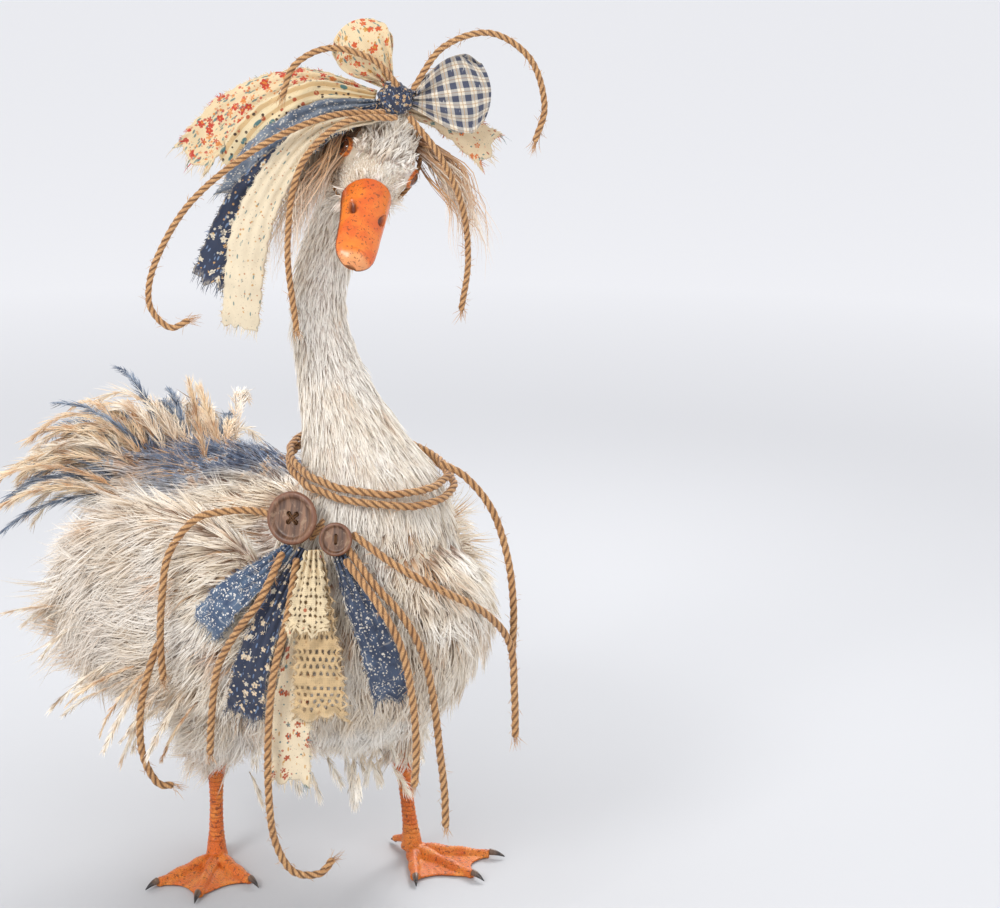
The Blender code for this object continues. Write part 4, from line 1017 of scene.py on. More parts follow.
def make_head_coat(size):
    """Fine down on the face, spiky tufts on the crown, longer wisps on the cheeks and behind."""
    points, normals, tris, bare = skin_places()
    face = in_head(points)
    near_eye = np.min([norm(points - eye_frame(side)[0]) for side in (-1, 1)], axis=0)
    allowed = region(points)[:, 0] * (bare < 0.05) * (near_eye > 0.0116)
    crown = eased(face[:, 2], 0.01, 0.026) * eased(-face[:, 0], -0.036, -0.016)
    cheek = eased(-face[:, 2], 0.002, 0.014) * eased(-face[:, 0], -0.03, -0.006)
    clear = eased(near_eye, 0.016, 0.026)
    coat = coat_finish("coat_head", 0.7, 0.22)
    tufts = allowed * crown * clear
    wisps = allowed * np.maximum(cheek, crown * 0.3) * clear
    layers = (("down", allowed, 0.0019, 0.62, 0.0008, 0.26, 3, 0.22, 0.2, 0.1, 0.0005),
              ("crown", tufts, 0.0042, 2.1, 0.0012, 0.9, 6, 0.34, 0.45, 0.05, 0.0013),
              ("cheeks", wisps, 0.0046, 2.3, 0.001, 0.38, 5, 0.3, 0.4, 0.75, 0.0014))
    for number, layer in enumerate(layers):
        name, where, spacing, share, wide, lift, strands, spread, curl, weight, foot = layer
        roots, faces = scatter(points, normals, tris, where, spacing, 14 + number)
        lie = lie_of_coat(roots, faces)
        length = size.head_tuft * share * (0.75 + 0.35 * eased(-in_head(roots)[:, 0], -0.03, 0.01))
        by_eye = np.min([norm(roots - eye_frame(side)[0]) for side in (-1, 1)], axis=0)
        length = length * (0.3 + 0.7 * eased(by_eye, 0.012, 0.034))
        tones = 0.45 + 0.36 * ripple(roots, 190.0, 24 + number)
        strand, base, tone = tufted(roots, faces, lie, length, wide, lift, 61 + number, strands, spread,
                                    4 if number else 3, 0.8, 2, 0.3, curl, tones, 0.0002, weight, foot, 0.85)
        coat_object("coat_head_" + name, strand, base, tone, coat)
    make_hanging_wisps(coat_finish("coat_wisps", 1.0, 0.0))


def make_hanging_wisps(material):
    """Long wavy wisps that hang from behind the crown beside the face, gathered in soft cords."""
    rng = np.random.default_rng(81)
    rows = []
    for side, count, back, low in ((-1, 66, -0.02, 0.19), (1, 34, -0.018, 0.15)):
        share = rng.uniform(size=count)
        root = head(back + rng.normal(0, 0.004, count), side * (0.014 + 0.012 * share), 0.026 - 0.01 * share)
        out = np.column_stack([side * (0.8 + 0.8 * rng.uniform(size=count)), rng.normal(-0.42, 0.14, count),
                               0.25 - 0.45 * share])
        rows.append((root, unit(out), rng.uniform(0.5, 1.0, count) * low))
    root, out, long = (np.concatenate([row[k] for row in rows]) for k in range(3))
    strands, steps = 8, 12
    pick = np.repeat(np.arange(len(root)), strands)
    count = len(pick)
    t = (np.arange(steps) + 0.5) / steps
    fall = -UP * (0.4 + 2.6 * t[None, :, None]) + rng.normal(0, 0.1, (len(root), 1, 3))[pick]
    turn = rng.uniform(0, 6.28, len(root))[pick][:, None]
    turn = turn + t[None] * rng.uniform(7, 14, len(root))[pick][:, None]
    wave = stacked(np.cos(turn), np.sin(turn) * 0.6, 0 * turn) * 0.62
    stray = rng.normal(0, 0.07, (count, 1, 3)) * t[None, :, None] * 2
    way = unit(out[pick][:, None] * (1.5 - 1.2 * t[None, :, None]) + fall * 0.8 + wave + stray)
    long = long[pick] * rng.uniform(0.75, 1.05, count)
    base = root[pick] + rng.normal(0, 0.0011, (count, 3))
    run = np.cumsum(way * (long / steps)[:, None, None], axis=1)
    curves = np.concatenate([base[:, None], base[:, None] + run], axis=1)
    points = blades(curves, np.broadcast_to(-FORWARD, (count, 3)), np.full(count, 0.0012), 82, 2, 1.0)
    coat_object("coat_head_wisps", points, root[pick], rng.uniform(0.45, 0.92, len(root))[pick], material)


# ---- plumes ----
def tail_locks():
    """The frame's tail locks: root, direction, length, droop and sway of each."""
    rows = []
    for i in range(9):
        u = (i - 4) / 4
        fan, lift = radians(40) * u, radians(20 + 22 * (1 - u * u) * (1 if i % 2 else 0.35))
        out = (-FORWARD * cos(fan) + LEFT * sin(fan)) * cos(lift) + UP * sin(lift)
        rows.append((body(-0.225, 0.05 * u, 0.36), out, 0.205 - 0.035 * abs(u), 0.03 + 0.02 * (i % 2),
                     LEFT * 0.03 * u))
    for i, side in enumerate((-1, 0, 1)):
        out = unit(-FORWARD * 0.62 + LEFT * side * 0.35 + UP * (1.0 + 0.15 * (i % 2)))
        rows.append((body(-0.24, 0.022 * side, 0.376), out, 0.138, 0.022, -FORWARD * 0.03))
    return rows


def wing_locks(side):
    """The frame's locks on a wing: root, direction, length, droop and sway of each."""
    rows = []
    for i in range(6):
        t = i / 6
        root = body(-0.145 + 0.165 * t**1.2, side * (0.129 + 0.014 * sin(pi * t)), 0.29 - 0.076 * t)
        spread = 0.3 + 0.12 * (i % 2) + 0.28 * t
        out = unit(-FORWARD * (1.0 - 0.85 * t) + LEFT * side * spread - UP * (0.15 + 0.95 * t))
        rows.append((root, out, 0.125 - 0.055 * t + 0.012 * (i % 2), 0.012 - 0.03 * (i % 2), np.zeros(3)))
    return rows


def belly_locks():
    """The frame's locks under the trunk, set in an oval ring on its lower side."""
    rows = []
    for i in range(7):
        angle = tau * i / 7 + 0.3
        ahead, aside = -0.02 + 0.12 * cos(angle), 0.046 * sin(angle)
        share = abs(ahead - TRUNK_MIDDLE) / (TRUNK_LENGTH / 2)
        round_off = sqrt(1 - share**TRUNK_ROUNDING)
        low = (TRUNK_AXIS_HEIGHT + TRUNK_AXIS_RISE * (ahead - 0.01) ** 2
               - TRUNK_HALF_HEIGHT * round_off * sqrt(1 - (aside / TRUNK_HALF_WIDTH / round_off) ** 2))
        out = unit(FORWARD * cos(angle) * 0.35 + LEFT * sin(angle) * 0.12 - UP)
        rows.append((body(ahead, aside, low + 0.014), out, 0.05 + 0.007 * (i % 3), 0.0, np.zeros(3)))
    return rows


def plume_shafts(locks, each, seed, jitter=0.012, fan=0.16, shorter=0.25, curl=0.5, steps=18):
    """Shaft curves: `each` for every lock, shifted and fanned a little, arching over to a hooked tip."""
    rng = np.random.default_rng(seed)
    root, out, length, droop, sway = (np.array([row[k] for row in locks]) for k in range(5))
    pick = np.repeat(np.arange(len(locks)), each)
    count = len(pick)
    start = unit(out[pick] + rng.normal(0, fan, (count, 3)) + UP * curl * 0.22)
    long = length[pick] * (1 - shorter * rng.uniform(size=count))
    base = root[pick] + rng.normal(0, jitter, (count, 3))
    pull = (sway[pick] - UP * droop[pick][:, None]) / length[pick][:, None] * 2
    side = unit(np.cross(start, UP + 0.01))
    roll = side * rng.normal(0, curl * 0.3, count)[:, None]
    roll = roll - UP * (curl * rng.uniform(0.9, 2.0, count))[:, None]
    return lock_curves(base, start, pull, long, steps, roll), side, rng


def plume_points(curves, side, rng, barbs, reach, steps=4, width=0.001, loose=0.16):
    """Barbs on both sides of each shaft: close-set, swept to the tip, longest below the middle."""
    count, stations = curves.shape[:2]
    along = heading(curves, 1)
    t = np.linspace(0.06, 0.99, barbs)
    at = t * (stations - 1)
    low = np.minimum(at.astype(int), stations - 2)
    part = (at - low)[None, :, None]
    base = curves[:, low] * (1 - part) + curves[:, low + 1] * part
    way = unit(along[:, low] * (1 - part) + along[:, low + 1] * part)
    across = unit(side[:, None] - way * (side[:, None] * way).sum(-1, keepdims=True))
    bow = np.cross(way, across)
    hands = np.array((-1.0, 1.0))[None, None, :, None]
    shape = reach[:, None] * (0.3 + 0.7 * np.sin(pi * np.clip(0.06 + 0.84 * t, 0, 1)) ** 0.8)[None]
    shape = shape[..., None] * rng.uniform(0.7, 1.15, (count, barbs, 2))
    tuft = np.sin(t * 46 + rng.uniform(0, 6.28, (count, 1)))[..., None, None] * 0.16
    size = (count, barbs, 2)
    start = way[:, :, None] + across[:, :, None] * hands * (0.62 + tuft) + rng.normal(0, loose, (*size, 3))
    start = unit(start + bow[:, :, None] * rng.normal(0, 0.2, (*size, 1)))
    bend = way[:, :, None] * 0.9 - across[:, :, None] * hands * 0.42 - UP * 0.3
    bend = bend + rng.normal(0, loose, (*size, 3))
    root = np.broadcast_to(base[:, :, None], start.shape).reshape(-1, 3)
    strands = lock_curves(root, start.reshape(-1, 3), bend.reshape(-1, 3), shape.reshape(-1), steps)
    normal = np.broadcast_to(bow[:, :, None], start.shape).reshape(-1, 3)
    wide = np.full(len(strands), width) * rng.uniform(0.7, 1.3, len(strands))
    return blades(strands, normal, wide, 7, 2, 0.9)


def shaft_tubes(curves, thick=0.0007):
    """A tapering three-sided quill on each shaft curve."""
    along = heading(curves, 1)
    side = unit(np.cross(along, UP + 0.01))
    other = np.cross(side, along)
    half = (thick * (1 - 0.85 * ramp(curves.shape[1])))[None, :, None]
    corners = [curves + (side * cos(a) + other * sin(a)) * half for a in (0, 2.094, 4.189, 6.283)]
    return np.stack(corners, axis=2)


def plume_finish(name, colour, shade, tip):
    """Loose plumes: shaded near the shaft and in patches, paler to the tips, with a few dark barbs."""
    made = Finish(name, 0.66, Sheen_Weight=0.2)
    tone, along, reach = made.value("tone"), made.value("along"), made.value("reach")
    here = made.place()
    patch = made.step(made.noise(here, 46.0), 0.44, 0.68)
    base = made.mix(patch, colour, shade)
    base = made.stain(base, shade, made.step(reach, 0.45, 0.0), 0.75)
    base = made.stain(base, tip, made.step(along, 0.3, 1.0), 0.6)
    base = made.stain(base, tuple(v * 0.3 for v in shade), made.step(tone, 0.93, 0.95), 0.8)
    return made.finish(base)


def plume_piece(name, locks, each, seed, barbs, reach, material, **ways):
    """Many barbed plumes as one mesh and their quills as another; `reach` grows from root to tip."""
    curves, side, rng = plume_shafts(locks, each, seed, **ways)
    length = norm(np.diff(curves, axis=1)).sum(1)
    points = plume_points(curves, side, rng, barbs, length * reach)
    base = np.repeat(curves[:, 0], barbs * 2, axis=0)
    made = coat_object(name, points, base, rng.uniform(size=len(points)), material)
    share = np.repeat(np.tile(np.repeat(ramp(barbs), 2), len(curves)), points.shape[1] * points.shape[2])
    put_value(made.data, "reach", share)
    quills = shaft_tubes(curves)
    made = coat_object(name + "_quills", quills, curves[:, 0], np.full(len(quills), 0.5), material)
    share = np.tile(np.repeat(ramp(quills.shape[1]), quills.shape[2]), len(quills))
    put_value(made.data, "reach", share)


UPRIGHT_LOCKS = [
    (body(-0.128, -0.03, 0.392), unit(-FORWARD * 0.1 + UP - LEFT * 0.1), 0.092, 0.0, LEFT * 0.0),
    (body(-0.165, 0.02, 0.388), unit(-FORWARD * 0.45 + UP), 0.08, 0.004, LEFT * 0.0),
]


def make_tail_plumes():
    """The tail's arching plumes in three colours, an upright pair, and looser ones on wings and belly."""
    buff = plume_finish("plume_buff", rgb(247, 222, 186), rgb(206, 156, 108), rgb(255, 247, 230))
    slate = plume_finish("plume_slate", rgb(122, 138, 160), rgb(62, 76, 102), rgb(206, 210, 216))
    cream = plume_finish("plume_cream", rgb(250, 238, 218), rgb(216, 182, 144), rgb(255, 251, 244))
    tail = [(root, out, length * 0.97, droop, sway) for root, out, length, droop, sway in tail_locks()]
    plume_piece("tail_plumes_buff", tail, 3, 71, 130, 0.165, buff, curl=0.8, fan=0.13)
    plume_piece("tail_plumes_slate", tail, 2, 72, 110, 0.165, slate, shorter=0.4, curl=0.6, fan=0.16)
    plume_piece("tail_plumes_cream", tail, 3, 73, 120, 0.185, cream, shorter=0.35, curl=0.9, fan=0.15)
    plume_piece(
        "back_plumes", UPRIGHT_LOCKS, 1, 78, 150, 0.25, buff, jitter=0.002, fan=0.03, shorter=0.0, curl=0.1)
    for name, side in (("left", 1), ("right", -1)):
        plume_piece(
            f"wing_plumes_{name}", wing_locks(side), 4, 74 + side, 84, 0.18, cream, shorter=0.3, curl=0.5)
        plume_piece(f"wing_plumes_buff_{name}",
            wing_locks(side), 1, 77 + side, 90, 0.15, buff, shorter=0.2, curl=0.7)
    belly = [(root, out, length * 0.72, droop, sway) for root, out, length, droop, sway in belly_locks()]
    down = plume_finish("plume_white", rgb(250, 242, 228), rgb(228, 210, 184), rgb(255, 252, 246))
    plume_piece("belly_plumes", belly, 8, 79, 36, 0.5, down, jitter=0.022, shorter=0.4, curl=0.25)


# ---- twine ----
# routes of the free twines, each from where it leaves the bow's knot or the collar's
HEAD_TWINES = {
    "twine_head_crest": ((0.002, -0.017, 0.013), (-0.02, -0.023, 0.036), (-0.056, -0.023, 0.046),
                         (-0.086, -0.021, 0.032), (-0.098, -0.019, 0.004)),
    "twine_head_far": ((-0.01, -0.03, -0.008), (-0.06, -0.043, -0.01), (-0.12, -0.044, -0.036),
                       (-0.176, -0.042, -0.08), (-0.208, -0.04, -0.13), (-0.216, -0.038, -0.168),
                       (-0.2, -0.037, -0.19), (-0.182, -0.037, -0.184)),
    "twine_head_arch": ((0.014, -0.018, 0.01), (0.04, -0.025, 0.046), (0.08, -0.025, 0.058),
                        (0.115, -0.022, 0.036), (0.128, -0.02, -0.004), (0.12, -0.018, -0.036)),
    "twine_cheek_left": ((0.01, -0.024, -0.012), (0.036, -0.03, -0.045), (0.056, -0.02, -0.09),
                         (0.062, -0.01, -0.14), (0.056, -0.006, -0.186)),
    "twine_cheek_right": ((0.0, -0.034, -0.012), (-0.046, -0.053, -0.014), (-0.084, -0.05, -0.052),
                          (-0.096, -0.047, -0.12), (-0.09, -0.045, -0.194)),
}
COLLAR_TWINES = {
    "twine_wing": ((-0.019, -0.1275, 0.4035), (-0.045, -0.111, 0.4085), (-0.075, -0.104, 0.407),
                   (-0.103, -0.106, 0.4), (-0.127, -0.1065, 0.3685), (-0.134, -0.1135, 0.33),
                   (-0.137, -0.1155, 0.29), (-0.136, -0.1145, 0.25)),
    "twine_side": ((-0.023, -0.158, 0.3835), (-0.044, -0.1785, 0.346), (-0.066, -0.1715, 0.314),
                   (-0.084, -0.158, 0.276), (-0.091, -0.153, 0.23), (-0.094, -0.151, 0.19)),
    "twine_long": ((0.0345, -0.1655, 0.3875), (0.056, -0.1945, 0.3635), (0.081, -0.2065, 0.336),
                   (0.099, -0.2045, 0.298), (0.108, -0.199, 0.252), (0.113, -0.197, 0.205),
                   (0.117, -0.196, 0.165), (0.118, -0.196, 0.13)),
    "twine_breast": ((0.043, -0.1655, 0.3975), (0.0765, -0.1905, 0.378), (0.117, -0.1965, 0.3555),
                     (0.156, -0.177, 0.327), (0.18, -0.156, 0.29),
                     (0.185, -0.15, 0.24), (0.186, -0.149, 0.196)),
    "twine_short": ((0.035, -0.179, 0.3768), (0.0607, -0.2126, 0.3475), (0.079, -0.2175, 0.31),
                    (0.088, -0.2165, 0.262), (0.091, -0.214, 0.215), (0.089, -0.213, 0.178)),
    "twine_belly": ((-0.012, -0.166, 0.372), (-0.021, -0.1935, 0.33), (-0.034, -0.196, 0.28),
                    (-0.04, -0.189, 0.22), (-0.041, -0.187, 0.165), (-0.037, -0.185, 0.12),
                    (-0.022, -0.184, 0.088), (0.002, -0.183, 0.083), (0.016, -0.182, 0.097)),
    "twine_flank": ((-0.1395, -0.105, 0.284), (-0.151, -0.108, 0.252), (-0.159, -0.108, 0.212),
                    (-0.158, -0.107, 0.174), (-0.146, -0.106, 0.146), (-0.131, -0.105, 0.142)),
    "twine_shoulder": ((0.121, -0.095, 0.446), (0.146, -0.092, 0.43), (0.17, -0.094, 0.398),
                       (0.184, -0.098, 0.352), (0.189, -0.1, 0.305), (0.188, -0.1, 0.262)),
}


TWINE_LEADS = {"twine_breast": 0.006, "twine_short": 0.006, "twine_belly": 0.008}
RAG_LEAD = 0.004


def led_back(stops, lead):
    """A route carried straight back beyond its first point, to tuck its start under the buttons."""
    return np.vstack([stops[0] + unit(stops[0] - stops[1]) * lead, stops]) if lead else stops


def twine_finish():
    """Jute: tan fibres that run with the plies, with painted shade between them; made once for all the
    twine.
    """
    if "jute" in bpy.data.materials:
        return bpy.data.materials["jute"]
    made = Finish("jute", 0.85, Sheen_Weight=0.2)
    here = made.place()
    fibre = made.noise(made.place(uv="UVMap", scale=(90, 9, 1)), 12.0, 5.0, 0.7)
    colour = made.mix(made.step(fibre, 0.32, 0.7), rgb(160, 112, 70), hue("twine"))
    worn = made.step(made.noise(here, 45.0), 0.42, 0.7)
    colour = made.stain(colour, rgb(172, 120, 72), worn, 0.45)
    # painted shade in the grooves between the plies
    groove = made.step(made.value("groove"), 0.05, 0.5)
    colour = made.stain(colour, rgb(82, 50, 28), groove, 0.8)
    return made.finish(colour, None, fibre, 0.6, 0.0005)


def twisted(name, route, diameter, material, closed=False):
    """Three plies wound round a path: radius = half * (0.62 + 0.38 * sqrt|cos 1.5(angle - turn)|)."""
    count = max(24, int(path_length(route) / (diameter * 0.24)))
    path = smooth_path(route, count)
    if closed:
        path[-1] = path[0]
    _, side, other = carried_frames(path)
    run = run_along(path)
    pitch = diameter * 3.6
    if closed:
        drift = atan2(side[-1] @ other[0], side[-1] @ side[0])
        turns = round(run[-1] / pitch)
        phase = run / run[-1] * turns * tau
        angle_fix = -drift * run / run[-1]
    else:
        phase, angle_fix = run / pitch * tau, 0 * run
    sides = 15
    angle = circle(sides)[None]
    lobe = np.sqrt(np.abs(np.cos(1.5 * (angle - phase[:, None]))))
    to_end = np.minimum(run, run[-1] - run)
    taper = np.ones(count) if closed else np.clip(to_end / (diameter * 0.7) + 0.62, 0, 1)
    radius = diameter / 2 * (0.62 + 0.38 * lobe) * taper[:, None]
    turn = angle + angle_fix[:, None]
    rings = path[:, None] + radius[..., None] * (np.cos(turn)[..., None] * side[:, None]
                                                  + np.sin(turn)[..., None] * other[:, None])
    points, faces = closed_tube(rings)
    uv = capped(stacked(run[:, None], angle / tau * 0.02))
    # groove is 1 between the plies, where the jute finish paints shade
    groove = np.append((1 - lobe).ravel(), (0.5, 0.5))
    if closed:
        faces = faces[: 2 * (count - 1) * sides]
        merged = np.arange(len(points))
        merged[(count - 1) * sides : count * sides] = np.arange(sides)
        faces = merged[faces]
        keep = (count - 1) * sides
        points, uv, groove = points[:keep], uv[:keep], groove[:keep]
    return make_object(
        name, points, faces, uv, values={"groove": groove}, material=material, slot="twine"), path


def loose_fibres(name, paths, diameter, material, seed, every=0.0022, length=0.0075):
    """Stray hairs that stand off the twines, and a frayed brush at each free end."""
    rng = np.random.default_rng(seed)
    roots, starts, longs = [], [], []
    for path in paths:
        count = int(path_length(path) / every)
        pick = rng.integers(1, len(path) - 1, count)
        along = heading(path)[pick]
        out = unit(np.cross(along, rng.normal(size=(count, 3))))
        roots.append(path[pick] + out * diameter * 0.4)
        starts.append(unit(out * 0.8 + along * rng.choice((-1.0, 1.0), count)[:, None] * 0.9))
        longs.append(length * rng.uniform(0.4, 1.3, count))
        brush = 26
        way = unit(path[-1] - path[-3])
        roots.append(path[-1] - way * 0.002 + rng.normal(0, diameter * 0.22, (brush, 3)))
        starts.append(unit(way + rng.normal(0, 0.28, (brush, 3))))
        longs.append(rng.uniform(0.007, 0.017, brush))
    roots, starts, longs = np.vstack(roots), np.vstack(starts), np.concatenate(longs)
    bend = rng.normal(0, 0.5, starts.shape) - UP * 0.35
    curves = lock_curves(roots, starts, bend, longs, 4)
    points = blades(curves, unit(np.cross(starts, UP + 0.02)), np.full(len(roots), 0.00055), seed, 2, 1.5)
    shape = points.shape[:3]
    uv = np.broadcast_to(rng.uniform(size=(shape[0], 1, 1, 2)), (*shape, 2))
    return make_object(name, points, blade_faces(shape), uv, values={"groove": np.zeros(shape)},
                       material=material, slot="twine")


def make_free_twines(size):
    """The thirteen hanging twines, each its own free cord, with stray fibres."""
    material = twine_finish()
    for kind, routes, diameter, origin in (("head", HEAD_TWINES, size.head_twine, KNOT),
                                           ("collar", COLLAR_TWINES, size.collar_twine, 0)):
        made, paths = [], []
        for node, route in routes.items():
            stops = led_back(np.array(route) + origin + SHIFT, TWINE_LEADS.get(node, 0))
            piece, path = twisted(node.replace("twine", "jute"), stops, diameter, material)
            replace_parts(piece, node)
            made.append((piece, path))
            paths.append(path)
        loose_fibres(f"jute_fibres_{kind}", paths, diameter, material, 91 + len(kind))
        for piece, path in made:
            path_length(path)


def collar_route(lift):
    """A ring on the neck's slope, lowest in front, where rays from the neck's middle leave the feathers."""
    rows = neck_rows(12)
    rings = rings_along(rows[:, :3], rows[:, 3], rows[:, 3], 13, FORWARD)
    points, faces = closed_tube(rings)
    hull = BVHTree.FromPolygons(points.tolist(), faces.tolist())
    angles = np.linspace(0, tau, 33)
    up = COLLAR_HEIGHT + lift - COLLAR_SLOPE * np.cos(angles)
    ahead, aside = (np.interp(up, NECK_STATIONS[:, 2], NECK_STATIONS[:, k]) for k in (0, 1))
    starts = body(ahead, aside, up)
    route = []
    for start, angle in zip(starts, angles):
        out = Vector(FORWARD * cos(angle) + LEFT * sin(angle))
        place, normal, _, _ = hull.ray_cast(Vector(start), out)
        route.append(place + normal * copysign(TWINE / 2 + COLLAR_STANDOFF, normal.dot(out)))
    return np.array(route)


def make_held_twines(size):
    """The collar's two rings and the head band: closed rings of twine, held all the way round."""
    material = twine_finish()
    paths = []
    for node, lift in (("collar_twine_lower", 0.0), ("collar_twine_upper", 0.0085)):
        piece, path = twisted(node.replace("twine", "jute"), collar_route(lift), size.collar_twine, material,
                              closed=True)
        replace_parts(piece, node)
        paths.append(path)
    turns = np.linspace(0, tau, 25)
    band = head(-0.003 - 0.017 * np.cos(turns), 0.0365 * np.sin(turns), 0.0395 * np.cos(turns))
    piece, path = twisted("headband_jute", band, size.band_twine, material, closed=True)
    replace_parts(piece, "twine_headband")
    loose_fibres("jute_fibres_rings", paths + [path], size.collar_twine, material, 97)


# ---- cloth ----
class Cloth(Finish):
    """Woven cloth on a UV map in metres: a base colour that fades, and patterns printed on it."""

    def __init__(self, name, pitch=0.0011):
        super().__init__(name, 0.9, Sheen_Weight=0.12, Sheen_Roughness=0.6)
        self.where = self.place(uv="UVMap")
        self.parts = self.node("SeparateXYZ", self.where).outputs
        self.pitch = pitch
        self.warp = self.thread(0)
        self.weft = self.thread(1)
        self.weave = self.maths("MAXIMUM", self.warp, self.weft)
        self.cloudy = self.noise(self.where, 55.0, 4.0)
        self.grain = self.noise(self.place(uv="UVMap", scale=(1, 0.25, 1)), 900.0, 2.0)

    def thread(self, axis):
        """A ridge along each thread: a sine of the UV across it."""
        wave = self.maths("SINE", self.times(self.parts[axis], tau / self.pitch))
        return self.maths("MULTIPLY_ADD", wave, 0.5, 0.5)

    def stripe(self, axis, period, share, shift=0.0):
        """1 on a band of each period across an axis, 0 between."""
        run = self.maths("FRACT", self.maths("MULTIPLY_ADD", self.parts[axis], 1 / period, shift))
        return self.maths("LESS_THAN", run, share)

    def slubs(self, scale=(1, 0.12, 1), fine=420.0, low=0.6, high=0.66):
        """Flecks of thick yarn: stretched noise above a level."""
        return self.step(self.noise(self.place(uv="UVMap", scale=scale), fine, 3.0), low, high)

    def printed(self, colour, ink, mask, strength=1.0):
        """An ink laid on by a mask, worn through in small patches."""
        worn = self.step(self.noise(self.where, 240.0), 0.3, 0.46)
        return self.stain(colour, ink, self.times(mask, worn), strength)

    def dots(self, period, radius, shift, randomness, stretch=(1, 1, 1), turn=0.0):
        """Filled spots, one in each cell of a loose grid."""
        where = self.place(
            uv="UVMap", scale=tuple(s / period for s in stretch), shift=shift, turn=(0, 0, turn))
        far = self.cells(where, 1.0, "F1", "Distance", randomness)
        return self.step(far, radius / period * 1.15, radius / period * 0.85)

    def flowers(self, period, radius, petals=5, shift=(0, 0, 0)):
        """Round-petalled flowers: spots whose radius swings with the angle about each cell's middle."""
        where = self.place(uv="UVMap", scale=(1 / period,) * 3, shift=shift)
        cell = self.node("TexVoronoi", feature="F1")
        self.put(cell.inputs["Vector"], where)
        self.put(cell.inputs["Scale"], 1.0)
        self.put(cell.inputs["Randomness"], 0.6)
        off = self.node("VectorMath", where, cell.outputs["Position"], operation="SUBTRACT").outputs[0]
        x, y, _ = self.node("SeparateXYZ", off).outputs
        angle = self.maths("ARCTAN2", y, x)
        swing = self.maths("ABSOLUTE", self.maths("COSINE", self.times(angle, petals / 2)))
        edge = self.maths("MULTIPLY_ADD", swing, radius / period * 0.45, radius / period * 0.72)
        petal = self.step(self.maths("SUBTRACT", cell.outputs["Distance"], edge), 0.02, -0.02)
        middle = self.step(cell.outputs["Distance"], radius / period * 0.42, radius / period * 0.3)
        return petal, middle

    def cloth(self, colour, depth=0.35):
        """Cloud the dye, shade the gaps of the weave, pale the worn edge, and raise the threads."""
        shade = self.maths("MULTIPLY_ADD", self.cloudy, 0.5, -0.12)
        colour = self.mix(self.times(shade, depth * 1.6), colour, rgb(120, 104, 84), "MULTIPLY")
        gap = self.maths("SUBTRACT", 1.0, self.weave)
        colour = self.stain(colour, rgb(60, 52, 46), gap, depth * 0.55)
        speck = self.step(self.noise(self.where, 620.0, 2.0), 0.665, 0.7)
        colour = self.stain(colour, rgb(78, 54, 40), speck, 0.7)
        edge = self.value("edge")
        worn = self.times(self.step(edge, 0.55, 1.0), self.step(self.grain, 0.4, 0.6))
        colour = self.stain(colour, rgb(214, 200, 176), worn, 0.5)
        height = self.maths("ADD", self.times(self.weave, 0.7), self.times(self.grain, 0.5))
        return self.finish(colour, None, height, 0.5, 0.0004)


def denim_finish(name, dye, worn, speck):
    """Twill: diagonal ridges, white specks where the dye has worn off, long pale slubs."""
    made = Cloth(name)
    slant = made.maths("ADD", made.parts[0], made.parts[1])
    twill = made.maths("MULTIPLY_ADD", made.maths("SINE", made.times(slant, tau / 0.0019)), 0.5, 0.5)
    colour = made.mix(made.step(made.cloudy, 0.38, 0.66), dye, worn)
    colour = made.stain(colour, rgb(20, 26, 40), twill, 0.22)
    colour = made.stain(colour, speck, made.slubs(), 0.35)
    colour = made.stain(colour, speck, made.slubs((0.2, 1, 1), 330.0, 0.62, 0.67), 0.25)
    for period, radius in ((0.003, 0.0007), (0.0046, 0.0009), (0.007, 0.0011)):
        colour = made.printed(colour, speck, made.dots(period, radius, (period * 99, 0.3, 0), 1.0), 0.85)
    return made.cloth(colour, 0.25)


def gingham_finish(name):
    """A check: navy bands both ways, darkest where they cross, with a tan line in each pale band."""
    made = Cloth(name)
    navy, tan = hue("check"), rgb(196, 156, 110)
    colour, check = rgb(238, 228, 208), 0.0116
    for axis in (0, 1):
        colour = made.stain(colour, navy, made.stripe(axis, check, 0.5), 0.46)
        colour = made.stain(colour, tan, made.stripe(axis, check, 0.08, 0.29), 0.6)
    crossing = made.times(made.stripe(0, check, 0.5), made.stripe(1, check, 0.5))
    colour = made.stain(colour, rgb(36, 52, 86), crossing, 0.8)
    colour = made.stain(colour, hue("white"), made.slubs((0.3, 1, 1), 380.0, 0.6, 0.68), 0.5)
    return made.cloth(colour)


def calico_finish(name, ground, inks, period, radius, flowers=True):
    """A printed cotton: small flowers, spots and leaves in three inks on a plain ground."""
    made = Cloth(name)
    colour = ground
    for number, turn in enumerate((0.6, -0.7)):
        leaf = made.dots(period * 0.66, radius * 0.52, (0.3 + number, 0.1, 0), 0.8, (1.9, 0.62, 1), turn)
        colour = made.printed(colour, inks[2], leaf, 0.85)
    small = made.dots(period * 0.6, radius * 0.42, (3.7, 0.3, 0), 0.8)
    colour = made.printed(colour, inks[0], small, 0.8)
    if flowers:
        petal, _ = made.flowers(period * 1.3, radius * 0.9, 5, (3.4, 1.7, 0))
        colour = made.printed(colour, inks[1], petal, 0.9)
        petal, middle = made.flowers(period, radius)
        colour = made.printed(colour, inks[0], petal)
        colour = made.printed(colour, inks[1], middle)
    small = made.dots(period * 0.5, radius * 0.36, (0.7, 2.3, 0), 0.8)
    colour = made.printed(colour, inks[1], small, 0.9)
    return made.cloth(colour)


